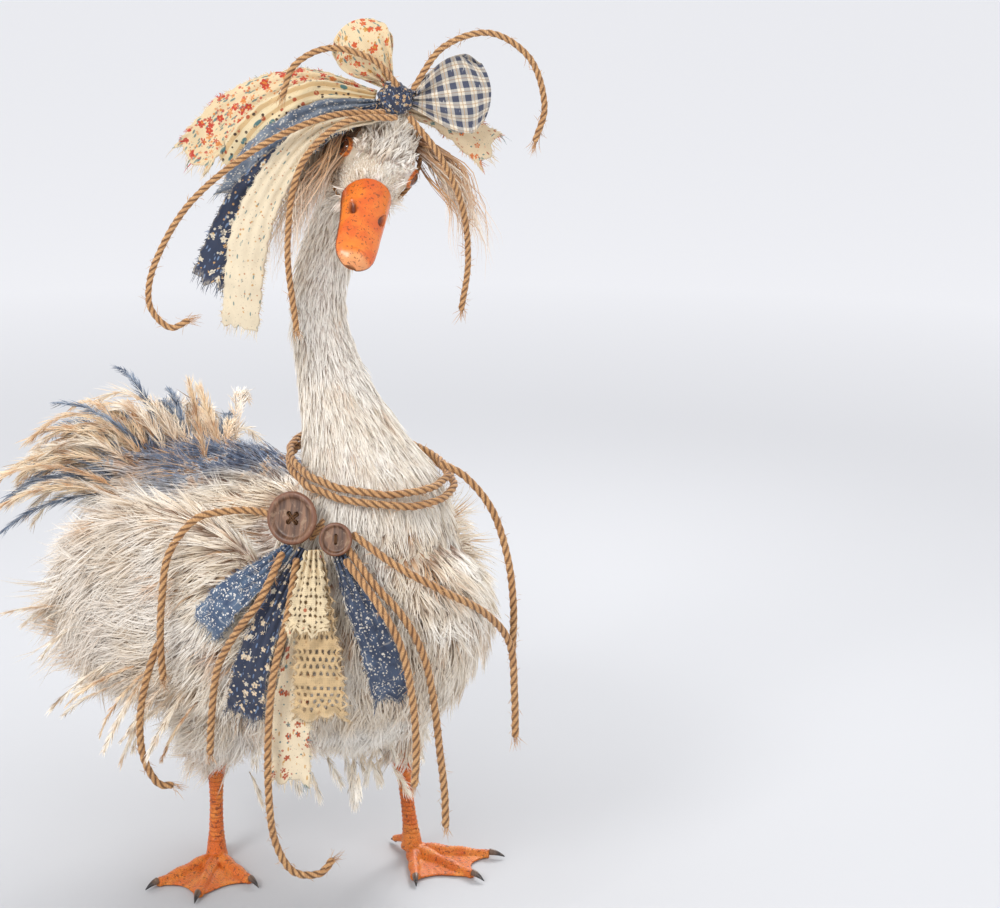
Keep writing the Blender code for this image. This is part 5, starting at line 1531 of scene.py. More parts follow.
def dashes_finish(name):
    """Cream cloth with bands of ochre along it and short teal and rust dashes set cross-wise in turn."""
    made = Cloth(name)
    colour = made.stain(rgb(238, 218, 176), hue("ochre"), made.stripe(0, 0.01, 0.38), 0.45)
    for ink, shift, stretch, turn in (("teal", (0.5, 0.5, 0), (1.0, 0.36, 1), 0.1),
                                      ("teal", (0, 0, 0), (0.8, 0.5, 1), 0.5),
                                      ("rust", (2.2, 0.9, 0), (0.8, 0.8, 1), 0.0),
                                      ("dark", (1.2, 3.9, 0), (1.2, 1.2, 1), 0.0)):
        colour = made.printed(colour, hue(ink), made.dots(0.0078, 0.0017, shift, 0.6, stretch, turn))
    return made.cloth(colour)


def lace_finish(name, yarn, spot):
    """Cotton lace: plied yarn with small spots of dye."""
    made = Cloth(name, 0.0017)
    colour = made.mix(
        made.step(made.noise(made.where, 90.0), 0.4, 0.66), yarn, tuple(v * 0.72 for v in yarn))
    colour = made.printed(colour, spot, made.dots(0.011, 0.0018, (0.2, 0.6, 0), 0.7), 0.9)
    return made.cloth(colour, 0.5)


def strip_surface(path, widths, face, seed, pitch, gather=0.004, wave=0.0028):
    """Points over run and width: gathered in pleats at the knot, its edges waving as it hangs."""
    run = path_length(path)
    rows = int(run / pitch)
    middle = smooth_path(path, rows)
    along, across, outward = path_frames(middle, face)
    half = np.interp(ramp(rows), ramp(len(widths)), widths)[:, None] / 2
    columns = int(max(widths) / pitch)
    v = np.linspace(-1, 1, columns)[None]
    s = ramp(rows)[:, None]
    rng = np.random.default_rng(seed)
    phase, speed = rng.uniform(0, 6.28, 6), rng.uniform(0.8, 1.2, 6)
    ragged = 1 + 0.05 * np.sin(s * run / 0.0061 * speed[0] + phase[0]) * np.sin(s * run / 0.0023 + phase[1])
    pleat = gather * np.cos(v * (2.4 + speed[2]) * pi + phase[2]) * (1 - s) ** 1.6
    sway = wave * s**0.6 * np.sin(s * run / 0.034 * tau * speed[3] + phase[3] + 1.4 * v) * v
    curl = wave * 0.8 * s * v**2 * np.sin(s * 5 * speed[4] + phase[4])
    trough = 0.1 * half * (1 - v**2) * np.cos(s * 7 + phase[5])
    jag = np.interp(ramp(columns), ramp(9), rng.uniform(0, 0.01, 9))
    torn = -jag[None] * eased(s, 0.78, 1.0)
    lift = (pleat + sway + curl + trough - trough.mean()) * 0.8
    points = middle[:, None] + across[:, None] * (v * half * ragged)[..., None]
    points = points + outward[:, None] * lift[..., None] + along[:, None] * torn[..., None]
    uv = stacked(v * max(widths) / 2, s * run)
    edge = np.maximum(np.abs(v) ** 6, s**14) * np.ones_like(s)
    return points, uv, edge


def frayed_threads(points, uv, seed, end, width=0.0007, sides=0.0036):
    """Loose threads: a fringe at the strip's end and short hairs along both its edges."""
    rng = np.random.default_rng(seed)
    rows, columns = points.shape[:2]
    spread = np.linspace(0, columns - 1.001, int(columns * 2.1))
    low = spread.astype(int)
    part = (spread - low)[:, None]
    roots = points[-2, low] * (1 - part) + points[-2, low + 1] * part
    way = unit(points[-1, low] - points[-6, low])
    starts = [unit(way + rng.normal(0, 0.16, way.shape))]
    longs = [end * rng.uniform(0.35, 1.25, len(low))]
    bases, marks = [roots], [uv[-1, low]]
    for column, inner in ((0, 2), (-1, -3)):
        pick = rng.integers(int(rows * 0.12), rows - 1, int(rows * 1.7))
        out = unit(points[pick, column] - points[pick, inner])
        down = unit(points[np.minimum(pick + 1, rows - 1), column] - points[pick - 1, column])
        bases.append(points[pick, column] - out * 0.0008)
        starts.append(unit(out + down * rng.normal(0.35, 0.5, len(pick))[:, None]))
        longs.append(sides * rng.uniform(0.3, 1.5, len(pick)))
        marks.append(uv[pick, column])
    bases, starts, longs, marks = (np.concatenate(a) for a in (bases, starts, longs, marks))
    bend = rng.normal(0, 0.35, starts.shape) - UP * 0.45
    curves = lock_curves(bases, starts, bend, longs, 4)
    normal = unit(np.cross(starts, rng.normal(size=starts.shape)))
    threads = blades(curves, normal, np.full(len(curves), width), seed, 2, 1.2)
    marks = np.broadcast_to(marks[:, None, None], (*threads.shape[:3], 2))
    return threads, blade_faces(threads.shape[:3]), marks


def lace_mask(uv, kind):
    """True where a face stays: round holes in staggered rows, or eyelets between leaf shapes."""
    u, v = uv[..., 0], uv[..., 1]
    if kind == "crochet":
        cell = 0.0068
        row = np.floor(v / cell)
        x = (u / cell + 0.5 * (row % 2)) % 1.0 - 0.5
        y = (v / cell) % 1.0 - 0.5
        hole = (x * x + y * y) < 0.3**2
        band = np.abs(((v / 0.034) % 1.0) - 0.5) < 0.1
        return ~hole | band
    cell = 0.0056
    x, y = (u / cell) % 1.0 - 0.5, (v / cell) % 1.0 - 0.5
    hole = (np.abs(x) + np.abs(y)) < 0.34
    leaf = (np.sin(u / 0.0085 * pi) * np.sin(v / 0.0085 * pi)) > 0.25
    return ~hole | leaf


def cloth_piece(name, node, kind, points, uv, edge, material, seed, thick, fray, mask=None):
    """A cloth from its grid, thickened, with its loose threads."""
    rows, columns = points.shape[:2]
    faces = grid_faces(rows, columns)
    if mask is not None:
        faces = faces[mask(uv)[:-1, :-1].ravel()]
        used, index = np.unique(faces, return_inverse=True)
        faces = index.reshape(faces.shape)
    else:
        used = slice(None)
    kept = points.reshape(-1, 3)[used]
    made = make_object(name, kept, faces, uv.reshape(-1, 2)[used], values={"edge": edge.ravel()[used]},
                       material=material, slot=kind)
    solid = made.modifiers.new("thickness", "SOLIDIFY")
    solid.thickness, solid.offset = thick, 0.0
    with_pieces = []
    if fray:
        threads, thread_faces, marks = frayed_threads(points, uv, seed, fray)
        values = {"edge": np.full(threads.shape[:3], 0.6)}
        with_pieces = [make_object(name + "_threads",
            threads, thread_faces, marks, values=values, material=material, slot=kind)]
    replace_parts(made, node)
    used_area = polygon_area(kept, faces)
    return made


def polygon_area(points, quads):
    """The quads' area: half the cross product of each one's diagonals."""
    a, b, c, d = (points[quads[:, k]] for k in range(4))
    return float(norm(np.cross(c - a, d - b)).sum() / 2)


HEAD_RAGS = {
    "rag_head_floral": ("calico", (0.01, 0.026, 0.034, 0.036), (
     (-0.018, 0.012, 0.003), (-0.08, 0.018, 0.014), (-0.14, 0.024, -0.01), (-0.182, 0.028, -0.056))),
    "rag_head_dotted": ("calico", (0.01, 0.026, 0.03, 0.032), (
     (-0.019, 0.004, 0.001), (-0.07, 0.004, 0.004), (-0.115, 0.006, -0.02), (-0.146, 0.006, -0.06))),
    "rag_head_denim": ("denim", (0.01, 0.028, 0.036, 0.04), (
     (-0.018, -0.005, -0.004), (-0.064, -0.007, -0.012), (-0.112, -0.008, -0.044),
     (-0.142, -0.008, -0.092))),
    "rag_head_navy": ("denim", (0.01, 0.024, 0.034, 0.036), (
     (-0.016, -0.013, -0.008), (-0.07, -0.018, -0.028), (-0.128, -0.02, -0.08), (-0.166, -0.02, -0.16))),
    "rag_head_leafy": ("calico", (0.01, 0.024, 0.034, 0.032), (
     (-0.013, -0.021, -0.012), (-0.074, -0.033, -0.026), (-0.124, -0.031, -0.1), (-0.14, -0.031, -0.196))),
    "rag_head_right": ("calico", (0.01, 0.028, 0.036), (
     (0.013, 0.014, -0.01), (0.05, 0.023, -0.022), (0.09, 0.024, -0.052))),
}
COLLAR_RAGS = {
    "rag_collar_denim": ("denim", (0.011, 0.026, 0.034, 0.036), (-0.5, -0.8, 0.2), (
     (-0.019, -0.149, 0.3835), (-0.043, -0.1575, 0.364), (-0.073, -0.1515, 0.339), (-0.099, -0.136, 0.304))),
    "rag_collar_navy": ("denim", (0.01, 0.024, 0.032, 0.036), (-0.3, -0.95, 0), (
     (-0.006, -0.1545, 0.3815), (-0.034, -0.1715, 0.332), (-0.052, -0.1645, 0.282), (-0.063, -0.15, 0.222))),
    "rag_collar_calico": ("calico", (0.01, 0.018, 0.034, 0.038), (-0.3, -0.95, 0), (
     (0.003, -0.1595, 0.377), (-0.001, -0.18, 0.341), (-0.0165, -0.185, 0.267), (-0.022, -0.178, 0.168))),
    "rag_collar_crochet": ("lace", (0.012, 0.034, 0.048, 0.054), (-0.25, -0.97, 0.1), (
     (0.007, -0.164, 0.381), (0.005, -0.1935, 0.33), (0.006, -0.199, 0.262), (0.007, -0.197, 0.236))),
    "rag_collar_lace": ("lace", (0.014, 0.032, 0.042), (-0.2, -0.97, 0.2), (
     (0.003, -0.169, 0.383), (0.0, -0.191, 0.356), (-0.004, -0.207, 0.318))),
    "rag_collar_dark": ("denim", (0.01, 0.026, 0.032, 0.034), (0.1, -1, 0.1), (
     (0.028, -0.168, 0.379), (0.0465, -0.205, 0.342), (0.0605, -0.21, 0.302), (0.072, -0.206, 0.252))),
}
HEAD_RAG_FACE = (0, -1, 0.35)


def rag_finishes():
    """One finish for each rag, by its node's name."""
    white, linen, teal, ochre, rust = (hue(name) for name in ("white", "linen", "teal", "ochre", "rust"))
    navy, red = rgb(48, 58, 82), rgb(200, 66, 46)
    calicos = {  # name, ground, three inks, period, radius
        "head_floral": ("floral", rgb(238, 214, 172), (red, rgb(226, 134, 60), teal), 0.0088, 0.0033),
        "head_navy": ("navy", navy, (linen, rgb(214, 168, 110), rgb(124, 146, 178)), 0.01, 0.0029),
        "head_leafy": ("leafy", rgb(236, 220, 190), (ochre, rgb(190, 128, 84), teal), 0.0105, 0.0024, False),
        "head_right": ("right", rgb(238, 216, 180), (rgb(222, 124, 66), teal, rust), 0.01, 0.0026),
        "collar_navy": ("navy_spots", navy, (rgb(238, 214, 180), linen, rgb(116, 140, 176)), 0.0104, 0.003),
        "collar_calico": ("calico", rgb(240, 222, 190), (rust, teal, ochre), 0.0118, 0.003),
    }
    denims = {  # name, dye, where it is worn, specks
        "head_denim": ("grey_denim", rgb(92, 106, 126), rgb(140, 150, 162), rgb(220, 214, 202)),
        "collar_denim": ("blue_denim", rgb(66, 86, 116), rgb(102, 124, 150), white),
        "collar_dark": ("dark_denim", rgb(50, 62, 86), rgb(74, 90, 116), rgb(222, 214, 200)),
    }
    made = {"rag_" + node: calico_finish("cloth_" + name, *rest) for node, (name, *rest) in calicos.items()}
    for node, (name, *rest) in denims.items():
        made["rag_" + node] = denim_finish("cloth_" + name, *rest)
    made["rag_head_dotted"] = dashes_finish("cloth_dashes")
    made["rag_collar_crochet"] = lace_finish("cloth_crochet", rgb(222, 190, 142), rgb(178, 138, 92))
    made["rag_collar_lace"] = lace_finish("cloth_lace", rgb(240, 218, 178), rust)
    return made


def pointed_edge(points, uv, depth=0.2, period=0.0085):
    """A lace's long edges cut to points: width swings by a triangle wave of the run."""
    run = uv[:, 0, 1]
    tooth = np.abs((run / period) % 1.0 - 0.5) * 2
    middle = points.mean(axis=1, keepdims=True)
    share = np.abs(np.linspace(-1, 1, points.shape[1])) ** 3
    return middle + (points - middle) * (1 - depth * tooth[:, None] * share)[..., None]


def make_rags(size):
    """Twelve torn strips: six from the bow's knot, six from the collar."""
    finishes = rag_finishes()
    tucked = np.array((0.9, 1, 1, 1))[:, None]
    rows = [(node, kind, widths, HEAD_RAG_FACE, np.array(route) * tucked[: len(route)] + KNOT)
            for node, (kind, widths, route) in HEAD_RAGS.items()]
    rows += [(node, kind, widths, face, led_back(np.array(route), RAG_LEAD))
             for node, (kind, widths, face, route) in COLLAR_RAGS.items()]
    for number, (node, kind, widths, face, route) in enumerate(rows):
        lace = kind == "lace"
        path = smooth_path(route + SHIFT, 60)
        points, uv, edge = strip_surface(path, widths, face, 200 + number, 0.0011 if lace else 0.0017)
        mask, fray = None, 0.012
        if lace:
            points = pointed_edge(points, uv)
            style = "crochet" if "crochet" in node else "lace"
            mask = lambda places, style=style: lace_mask(places, style)
            fray = 0.005
        flat = (float(np.mean(np.interp(ramp(20), ramp(len(widths)), widths))) * 1.04,
                path_length(path) * 1.02)
        cloth_piece(node.replace("rag", "cloth"), node, kind, points, uv, edge, finishes[node],
                    300 + number, size.cloth * (1.4 if lace else 1.0), fray, mask)


def loop_surface(route, half_height, depth, seed):
    """A bow's loop: out in front and back behind, both ends pinched in pleats at the knot."""
    middle = smooth_path(np.array(route) + KNOT + SHIFT, 60)
    along, across, outward = path_frames(middle, (0, -1, 0))
    rows, columns = 96, 44
    turn = np.linspace(-pi, pi, rows)
    t = 0.5 + 0.5 * np.cos(turn)
    at = t * 59
    low = np.minimum(at.astype(int), 58)
    part = (at - low)[:, None]
    pick = lambda a: a[low] * (1 - part) + a[low + 1] * part
    centre, side, out = pick(middle), unit(pick(across)), unit(pick(outward))
    v = np.linspace(-1, 1, columns)[None]
    tall = (0.16 + 0.84 * np.sin(np.clip(t * 1.45 + 0.05, 0, 1) * pi / 2) ** 1.15) * half_height
    tall = tall * (1 - 0.26 * eased(t, 0.7, 1.0))
    deep = depth * np.sin(turn) * np.sin(np.clip(t * 0.9 + 0.1, 0, 1) * pi) ** 0.6
    rng = np.random.default_rng(seed)
    phase = rng.uniform(0, 6.28, 3)
    pleat = (0.3 * depth) * np.cos(v * 3.6 * pi + phase[0]) * ((1 - t) ** 1.3 * 0.9 + 0.1)[:, None]
    crease = 0.1 * depth * np.sin(v * 2.2 + turn[:, None] * 2 + phase[1])
    bulge = 1 - 0.45 * v**2
    lift = deep[:, None] * bulge + (pleat + crease) * np.where(np.abs(turn) < 0.3, 0.4, 1.0)[:, None]
    points = centre[:, None] + side[:, None] * (v * tall[:, None])[..., None]
    points = points + out[:, None] * lift[..., None]
    sag = v * 0.004 * np.sin(turn * 1.5 + phase[2])[:, None]
    tuck = -0.0075 * v**2 * eased(t, 0.45, 1.0)[:, None]
    points = points + along[low][:, None] * (sag + tuck)[..., None]
    run = run_along(points[:, columns // 2])
    uv = stacked(v * half_height, run[:, None])
    edge = np.abs(v) ** 8 * np.ones((rows, 1))
    return points, uv, edge


LOOPS = {  # route from the knot, half-height, depth
    "gingham": (((0.0165, 0, 0.001), (0.05, -0.002, 0.004), (0.083, 0, 0.006)), 0.0335, 0.012),
    "calico": (((-0.008, 0, 0.016), (-0.024, 0.002, 0.04), (-0.038, 0.004, 0.0655)), 0.0265, 0.0112),
}


def make_bow(size):
    """The bow's two loops and the wrapped knot between them."""
    inks = (rgb(214, 92, 44), hue("ochre"), hue("teal"))
    finishes = {"gingham": gingham_finish("cloth_gingham"),
                "calico": calico_finish("cloth_loop", rgb(238, 214, 172), inks, 0.0088, 0.0028)}
    for name, made in finishes.items():
        route, tall, deep = LOOPS[name]
        points, uv, edge = loop_surface(route, tall, deep, 400 + len(name))
        cloth_piece("cloth_loop_" + name, "bow_loop_" + name, name,
            points, uv, edge, made, 410 + len(name), size.cloth, 0)
    latitude = np.linspace(-pi / 2 + 0.03, pi / 2 - 0.03, 60)[:, None]
    longitude = circle(96)[None]
    fold = 1 + 0.055 * np.cos(latitude * 9 + 0.9 * np.sin(longitude))
    fold = fold + 0.035 * np.cos(latitude * 17 + longitude * 2)
    fold = fold * (1 - 0.16 * np.cos(latitude) ** 10 * np.cos(longitude * 1.0 + 0.6))
    local = stacked(np.sin(latitude) * fold * np.ones_like(longitude),
        np.cos(latitude) * np.cos(longitude) * fold, np.cos(latitude) * np.sin(longitude) * fold)
    lean = radians(18)
    local = local @ np.array(((cos(lean), 0, sin(lean)), (0, 1, 0), (-sin(lean), 0, cos(lean))))
    points, faces = closed_tube(KNOT + SHIFT + local * np.array((0.016, 0.0126, 0.0142)))
    uv = capped(stacked(latitude * 0.016, longitude * 0.013))
    inks = (rgb(214, 176, 128), hue("linen"), rgb(116, 136, 166))
    cotton = calico_finish("cloth_knot_print", rgb(50, 60, 84), inks, 0.0052, 0.0017)
    knot = make_object("cloth_knot",
        points, faces, uv, values={"edge": np.zeros(len(points))}, material=cotton, slot="denim")
    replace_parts(knot, "bow_knot")


# ---- collar knot and buttons ----
COLLAR_KNOT = np.array((0.003, -0.1425, 0.399))
BUTTONS = (("large", np.array((-0.014, -0.145, 0.411)), np.array((-0.4, -0.88, 0.25)), 0.024, 0.006, 4),
           ("small", np.array((0.024, -0.168, 0.397)), np.array((-0.22, -0.94, 0.25)), 0.015, 0.0048, 2))


def make_collar_knot():
    """Five turns of twine pulled tight over one another where the collar is tied."""
    material = twine_finish()
    parts = []
    for number in range(5):
        a = np.linspace(0, tau, 26)
        lean = radians(-62 + 31 * number)
        wide, deep = 0.0105, 0.0042
        ring = stacked(np.cos(a) * wide * cos(lean), np.sin(a) * deep, np.cos(a) * wide * 0.85 * sin(lean))
        ring = ring * (0.82 if number % 2 else 1.0)
        ring = ring + np.array(((number - 2) * 0.0026, -0.0006 * (number % 2), 0))
        piece, _ = twisted(f"tie_{number}", ring + COLLAR_KNOT + SHIFT, 0.0046, material, closed=True)
        parts.append(piece)
    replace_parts(merged(parts, "jute_tie"), "collar_knot")


def merged(parts, name):
    """Several objects' meshes in the first one's, each carrying its own UV and values."""
    work = bmesh.new()
    for part in parts:
        work.from_mesh(part.data)
    mesh = bpy.data.meshes.new(name)
    work.to_mesh(mesh)
    work.free()
    for material in parts[0].data.materials:
        mesh.materials.append(material)
    for other in parts[1:]:
        bpy.data.objects.remove(other, do_unlink=True)
    parts[0].data, parts[0].name = mesh, name
    return parts[0]


def wood_finish():
    """Dark turned wood: fine grain lines across the face, darker towards the rim and in the dish."""
    made = Finish("button_wood", 0.45, Coat_Weight=0.25, Coat_Roughness=0.35)
    here = made.place(uv="UVMap", scale=(1, 0.1, 1))
    grain = made.noise(here, 900.0, 4.0, 0.6, 0.4)
    bands = made.noise(made.place(uv="UVMap", scale=(1, 0.14, 1)), 160.0, 3.0, 0.5, 1.2)
    colour = made.mix(made.step(bands, 0.36, 0.66), rgb(82, 54, 38), hue("wood"))
    colour = made.stain(colour, rgb(56, 34, 22), made.step(grain, 0.45, 0.7), 0.5)
    worn = made.step(made.noise(made.place(uv="UVMap"), 130.0, 4.0, 0.65), 0.52, 0.66)
    colour = made.stain(colour, rgb(178, 150, 122), worn, 0.45)
    rim = made.value("rim")
    colour = made.stain(colour, rgb(122, 74, 48), rim, 0.7)
    return made.finish(colour, None, grain, 0.35, 0.0004)


def button_surface(radius, thickness):
    """A profile from back middle to front middle, turned about its axis: raised rim, dished face."""
    steps = np.array(((0.0, -0.5),
        (0.55, -0.5), (0.86, -0.48), (0.97, -0.3), (1.0, -0.05), (1.0, 0.16), (0.975, 0.36), (0.93, 0.48),
        (0.88, 0.5), (0.82, 0.47), (0.765, 0.26), (0.73, 0.03), (0.66, -0.06), (0.3, -0.03), (0.0, -0.03)))
    profile = smooth_path(steps * (radius, thickness), 46)
    profile[:, 0] = np.maximum(profile[:, 0], 1e-5)
    turn = circle(72)[None]
    rings = stacked(
        profile[:, :1] * np.cos(turn), profile[:, :1] * np.sin(turn), profile[:, 1:] * np.ones_like(turn))
    return closed_tube(rings[:, ::-1])


def make_buttons():
    """Two wooden buttons, drilled, each sewn on with crossing threads."""
    material = wood_finish()
    thread = Finish("button_thread", 0.9, Specular_IOR_Level=0.2)
    strand = thread.noise(thread.place(scale=(1, 1, 2)), 900.0, 3.0)
    thread = thread.finish(thread.mix(strand, rgb(118, 84, 56), rgb(70, 46, 30)), None, strand, 0.5, 0.0003)
    for name, centre, facing, radius, thickness, holes in BUTTONS:
        front = unit(facing)
        side = unit(np.cross(UP, front))
        other = np.cross(front, side)
        axes = np.array((side, other, front))
        local, faces = button_surface(radius, thickness)
        made = make_object("wood_button_" + name, local, faces)
        angles = tau * (np.arange(holes) + 0.5) / holes
        spots = np.column_stack([np.cos(angles), np.sin(angles)]) * radius * 0.22
        drills = []
        for x, y in spots:
            turn = circle(20)
            ring = np.column_stack([x + np.cos(turn) * radius * 0.1, y + np.sin(turn) * radius * 0.1])
            rings = np.stack([np.column_stack([ring, np.full(20, z)]) for z in (-0.01, 0.01)])
            drills.append(closed_tube(rings))
        drill = make_object("drill", *joined(drills))
        cut = made.modifiers.new("holes", "BOOLEAN")
        cut.operation, cut.solver, cut.object = "DIFFERENCE", "MANIFOLD", drill
        bake_modifiers(made)
        bpy.data.objects.remove(drill, do_unlink=True)
        local, _, tris = arrays_of(made)
        bpy.data.objects.remove(made, do_unlink=True)
        rim = eased(norm(local[:, :2]), radius * 0.78, radius * 0.95)
        made = make_object("wood_button_" + name, centre + SHIFT + local @ axes, tris, local[:, :2],
                           values={"rim": rim}, material=material, slot="button")
        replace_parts(made, "button_" + name)
        pairs = ((0, 2), (1, 3)) if holes == 4 else ((0, 1),)
        stitches = [egg((0, 0, -thickness * 0.5 - 0.0002), (radius * 0.36, radius * 0.36, 0.0007))]
        for a, b in pairs:
            for lean in (-1, 1):
                off = np.array((-(spots[b] - spots[a])[1], (spots[b] - spots[a])[0])) * 0.1 * lean
                top = -thickness * 0.03
                near, far = spots[a] + off, spots[b] + off
                middle = (spots[a] + spots[b]) / 2 + off
                stops = [(*near, top - 0.002), (*near, top + 0.0004), (*middle, top + 0.0012),
                         (*far, top + 0.0004), (*far, top - 0.002)]
                path = smooth_path(stops, 16)
                stitches.append(closed_tube(rings_along(path, 0.0006, 0.0006, 8, (0.3, 0.2, 1))))
        local, faces = joined(stitches)
        make_object(
            f"button_stitches_{name}", centre + SHIFT + local @ axes, faces, material=thread, slot="twine")


# ---- bill, eyes and claws ----
BILL_ROOT, BILL_LENGTH = 0.0475, 0.078
NOSTRIL, LAMELLA = 0.36, 0.0019  # the nostril's share of the length; the teeth's spacing
BILL_STATIONS = np.array((  # share of length, half-width, ridge, mouth line, jaw depth
    (0.0, 0.0205, 0.015, -0.0105, 0.0175), (0.12, 0.02, 0.0118, -0.011, 0.016),
    (0.3, 0.0192, 0.0066, -0.0105, 0.014), (0.5, 0.0183, 0.0016, -0.0112, 0.0118),
    (0.68, 0.0178, -0.0022, -0.0128, 0.01), (0.82, 0.017, -0.0052, -0.015, 0.0084),
    (0.92, 0.0142, -0.0082, -0.0172, 0.0066), (0.98, 0.009, -0.012, -0.0192, 0.0046),
    (1.0, 0.004, -0.015, -0.0202, 0.003),
))


def bill_finish():
    """Orange horn: warmer at the root, pale at the nail, dark specks and fine scratches, with painted shade
    along the mouth line and inside the nostrils.
    """
    made = Finish("bill_horn", 0.34, Coat_Weight=0.35, Coat_Roughness=0.22, Subsurface_Weight=0.08,
                  Subsurface_Scale=0.004)
    here = made.place()
    along = made.value("along")
    colour = made.mix(made.step(made.noise(here, 55.0, 4.0), 0.36, 0.68), rgb(224, 98, 18), hue("bill"))
    colour = made.stain(colour, rgb(238, 182, 122), made.step(along, 0.9, 0.96), 0.55)
    colour = made.stain(colour, rgb(206, 88, 28), made.step(along, 0.25, 0.0), 0.35)
    specks = made.step(made.noise(here, 380.0, 3.0, 0.6), 0.575, 0.64)
    colour = made.stain(colour, rgb(112, 50, 22), specks, 0.72)
    patches = made.step(made.noise(made.place(shift=(2, 1, 3)), 120.0, 4.0, 0.6), 0.6, 0.72)
    colour = made.stain(colour, rgb(170, 74, 26), patches, 0.3)
    # painted shade along the mouth line and inside the nostrils
    colour = made.stain(colour, rgb(84, 36, 20), made.value("mouth"), 0.9)
    return made.finish(colour, None, made.noise(here, 300.0, 5.0, 0.65), 0.45, 0.0007)


def bill_surface(upper):
    """Sections along the bill: a dome or trough by sin^0.8, with culmen, nostril pits, nail and lamellae."""
    rows = smooth_path(BILL_STATIONS, 120)
    share, wide, ridge, mouth, jaw = (rows[:, k : k + 1] for k in range(5))
    forward = BILL_ROOT + 0.0004 + share * BILL_LENGTH * (1.0 if upper else 0.955)
    angle = np.linspace(0, pi, 61)[None]
    lift = np.abs(np.sin(angle)) ** 0.8
    if upper:
        aside = wide * np.cos(angle) * (1 - 0.035 * np.sin(angle * 2) ** 2)
        up = mouth + (ridge - mouth) * lift
        culmen = np.exp(-((np.abs(aside) / 0.0052) ** 2)) * 0.0007 * eased(share, 0.02, 0.2)
        nail = eased(share, 0.865, 0.9) * np.exp(-((aside / 0.0072) ** 4)) * 0.0012
        groove = np.exp(-(((share - 0.875) / 0.014) ** 2)) * np.exp(-((aside / 0.009) ** 4)) * 0.0006
        comb = 0.00026 * np.sin(share * BILL_LENGTH / LAMELLA * tau)
        teeth = comb * np.exp(-((angle % pi) / 0.16) ** 2)
        teeth = teeth + comb * np.exp(-((pi - angle) / 0.16) ** 2)
        ahead = forward - BILL_ROOT - NOSTRIL * BILL_LENGTH
        nostril = (ahead / 0.0064) ** 2 + ((up - 0.0005 + 0.1 * ahead) / 0.002) ** 2
        pit = np.exp(-np.minimum(nostril, 30) ** 1.8) * 0.004
        rim = np.exp(-((np.sqrt(nostril) - 1.25) / 0.22) ** 2) * 0.0005
        out = culmen + nail - groove + teeth * (share < 0.86) - pit + rim
        aside = aside + np.sign(np.cos(angle)) * np.abs(np.cos(angle)) * out
        up = up + np.sin(angle) * out
    else:
        aside = wide * 0.9 * np.cos(angle)
        up = mouth - 0.0004 - jaw * lift
        ribs = 0.0004 * np.sin(share * BILL_LENGTH / 0.0021 * tau) * np.exp(-((np.sin(angle)) / 0.28) ** 2)
        aside = aside + np.cos(angle) * ribs
        middle = np.exp(-((aside / 0.0042) ** 2)) * 0.0012 * eased(share, 0.1, 0.3)
        up = up + middle * (1 - eased(share, 0.8, 0.95))
    rings = head(np.broadcast_to(forward, up.shape), aside, up)
    if not upper:
        rings = rings[:, ::-1]
    points, faces = closed_tube(rings)
    along = np.append(np.broadcast_to(share, up.shape).ravel(), (0, 1))
    # mask of painted shade: the edges where the two halves meet, and the inside of the nostril pits
    painted_bill_shade = np.append(np.exp(-((np.sin(angle) / 0.1) ** 2) * np.ones_like(share)).ravel(), (0, 0))
    if upper:
        inside = np.append(np.exp(-np.minimum(nostril, 30) ** 1.4).ravel(), (0, 0))
        painted_bill_shade = np.maximum(painted_bill_shade, inside * 1.4)
    return points, faces, along, np.clip(painted_bill_shade, 0, 1)


def make_bill():
    """Both halves of the bill, each a closed tube through its sections."""
    material = bill_finish()
    for name, upper in (("upper", True), ("lower", False)):
        points, faces, along, mouth = bill_surface(upper)
        # the value mouth marks where the horn paints shade: along the mouth line and inside the nostrils
        made = make_object("horn_bill_" + name, points, faces, values={"along": along, "mouth": mouth},
                           material=material, slot="bill")
        outward(made)
        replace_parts(made, "bill_" + name)


def outward(made):
    """Normals of a closed mesh turned outwards."""
    work = bmesh.new()
    work.from_mesh(made.data)
    bmesh.ops.recalc_face_normals(work, faces=work.faces)
    work.to_mesh(made.data)
    work.free()


def eye_finish():
    """A wet eye: black pupil, brown iris with fine rays, a dark ring round it."""
    made = Finish("eye_brown", 0.06, Coat_Weight=1.0, Coat_Roughness=0.02)
    reach = made.value("reach")
    rays = made.noise(made.place(uv="UVMap", scale=(1, 0.08, 1)), 46.0, 3.0)
    colour = made.mix(made.step(rays, 0.35, 0.7), rgb(84, 42, 20), hue("iris"))
    colour = made.mix(made.step(reach, 0.66, 0.8), colour, rgb(34, 20, 14))
    colour = made.mix(made.step(reach, 0.37, 0.32), colour, rgb(5, 4, 4))
    return made.finish(colour)


def make_eyes():
    """Two balls whose radius grows by a smooth bell curve in front, over iris and pupil."""
    material = eye_finish()
    for name, side in (("left", 1), ("right", -1)):
        centre, look = eye_frame(side)
        across = unit(np.cross(UP, look))
        axes = np.array((across, np.cross(look, across), look))
        polar = np.linspace(0.02, pi - 0.02, 64)[:, None]
        turn = circle(72)[None]
        bulge = 1 + 0.055 * np.exp(-((polar / 0.55) ** 4))
        local = stacked(
            np.sin(polar) * np.cos(turn), np.sin(polar) * np.sin(turn), np.cos(polar) * np.ones_like(turn))
        local = local * bulge[..., None] * EYE_RADIUS
        points, faces = closed_tube(centre + local @ axes)
        reach = np.append(np.broadcast_to(polar, local.shape[:2]).ravel(), (0, pi))
        uv = capped(stacked(turn / tau, polar))
        made = make_object(
            "eyeball_" + name, points, faces, uv, values={"reach": reach}, material=material, slot="eye")
        outward(made)
        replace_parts(made, "eye_" + name)


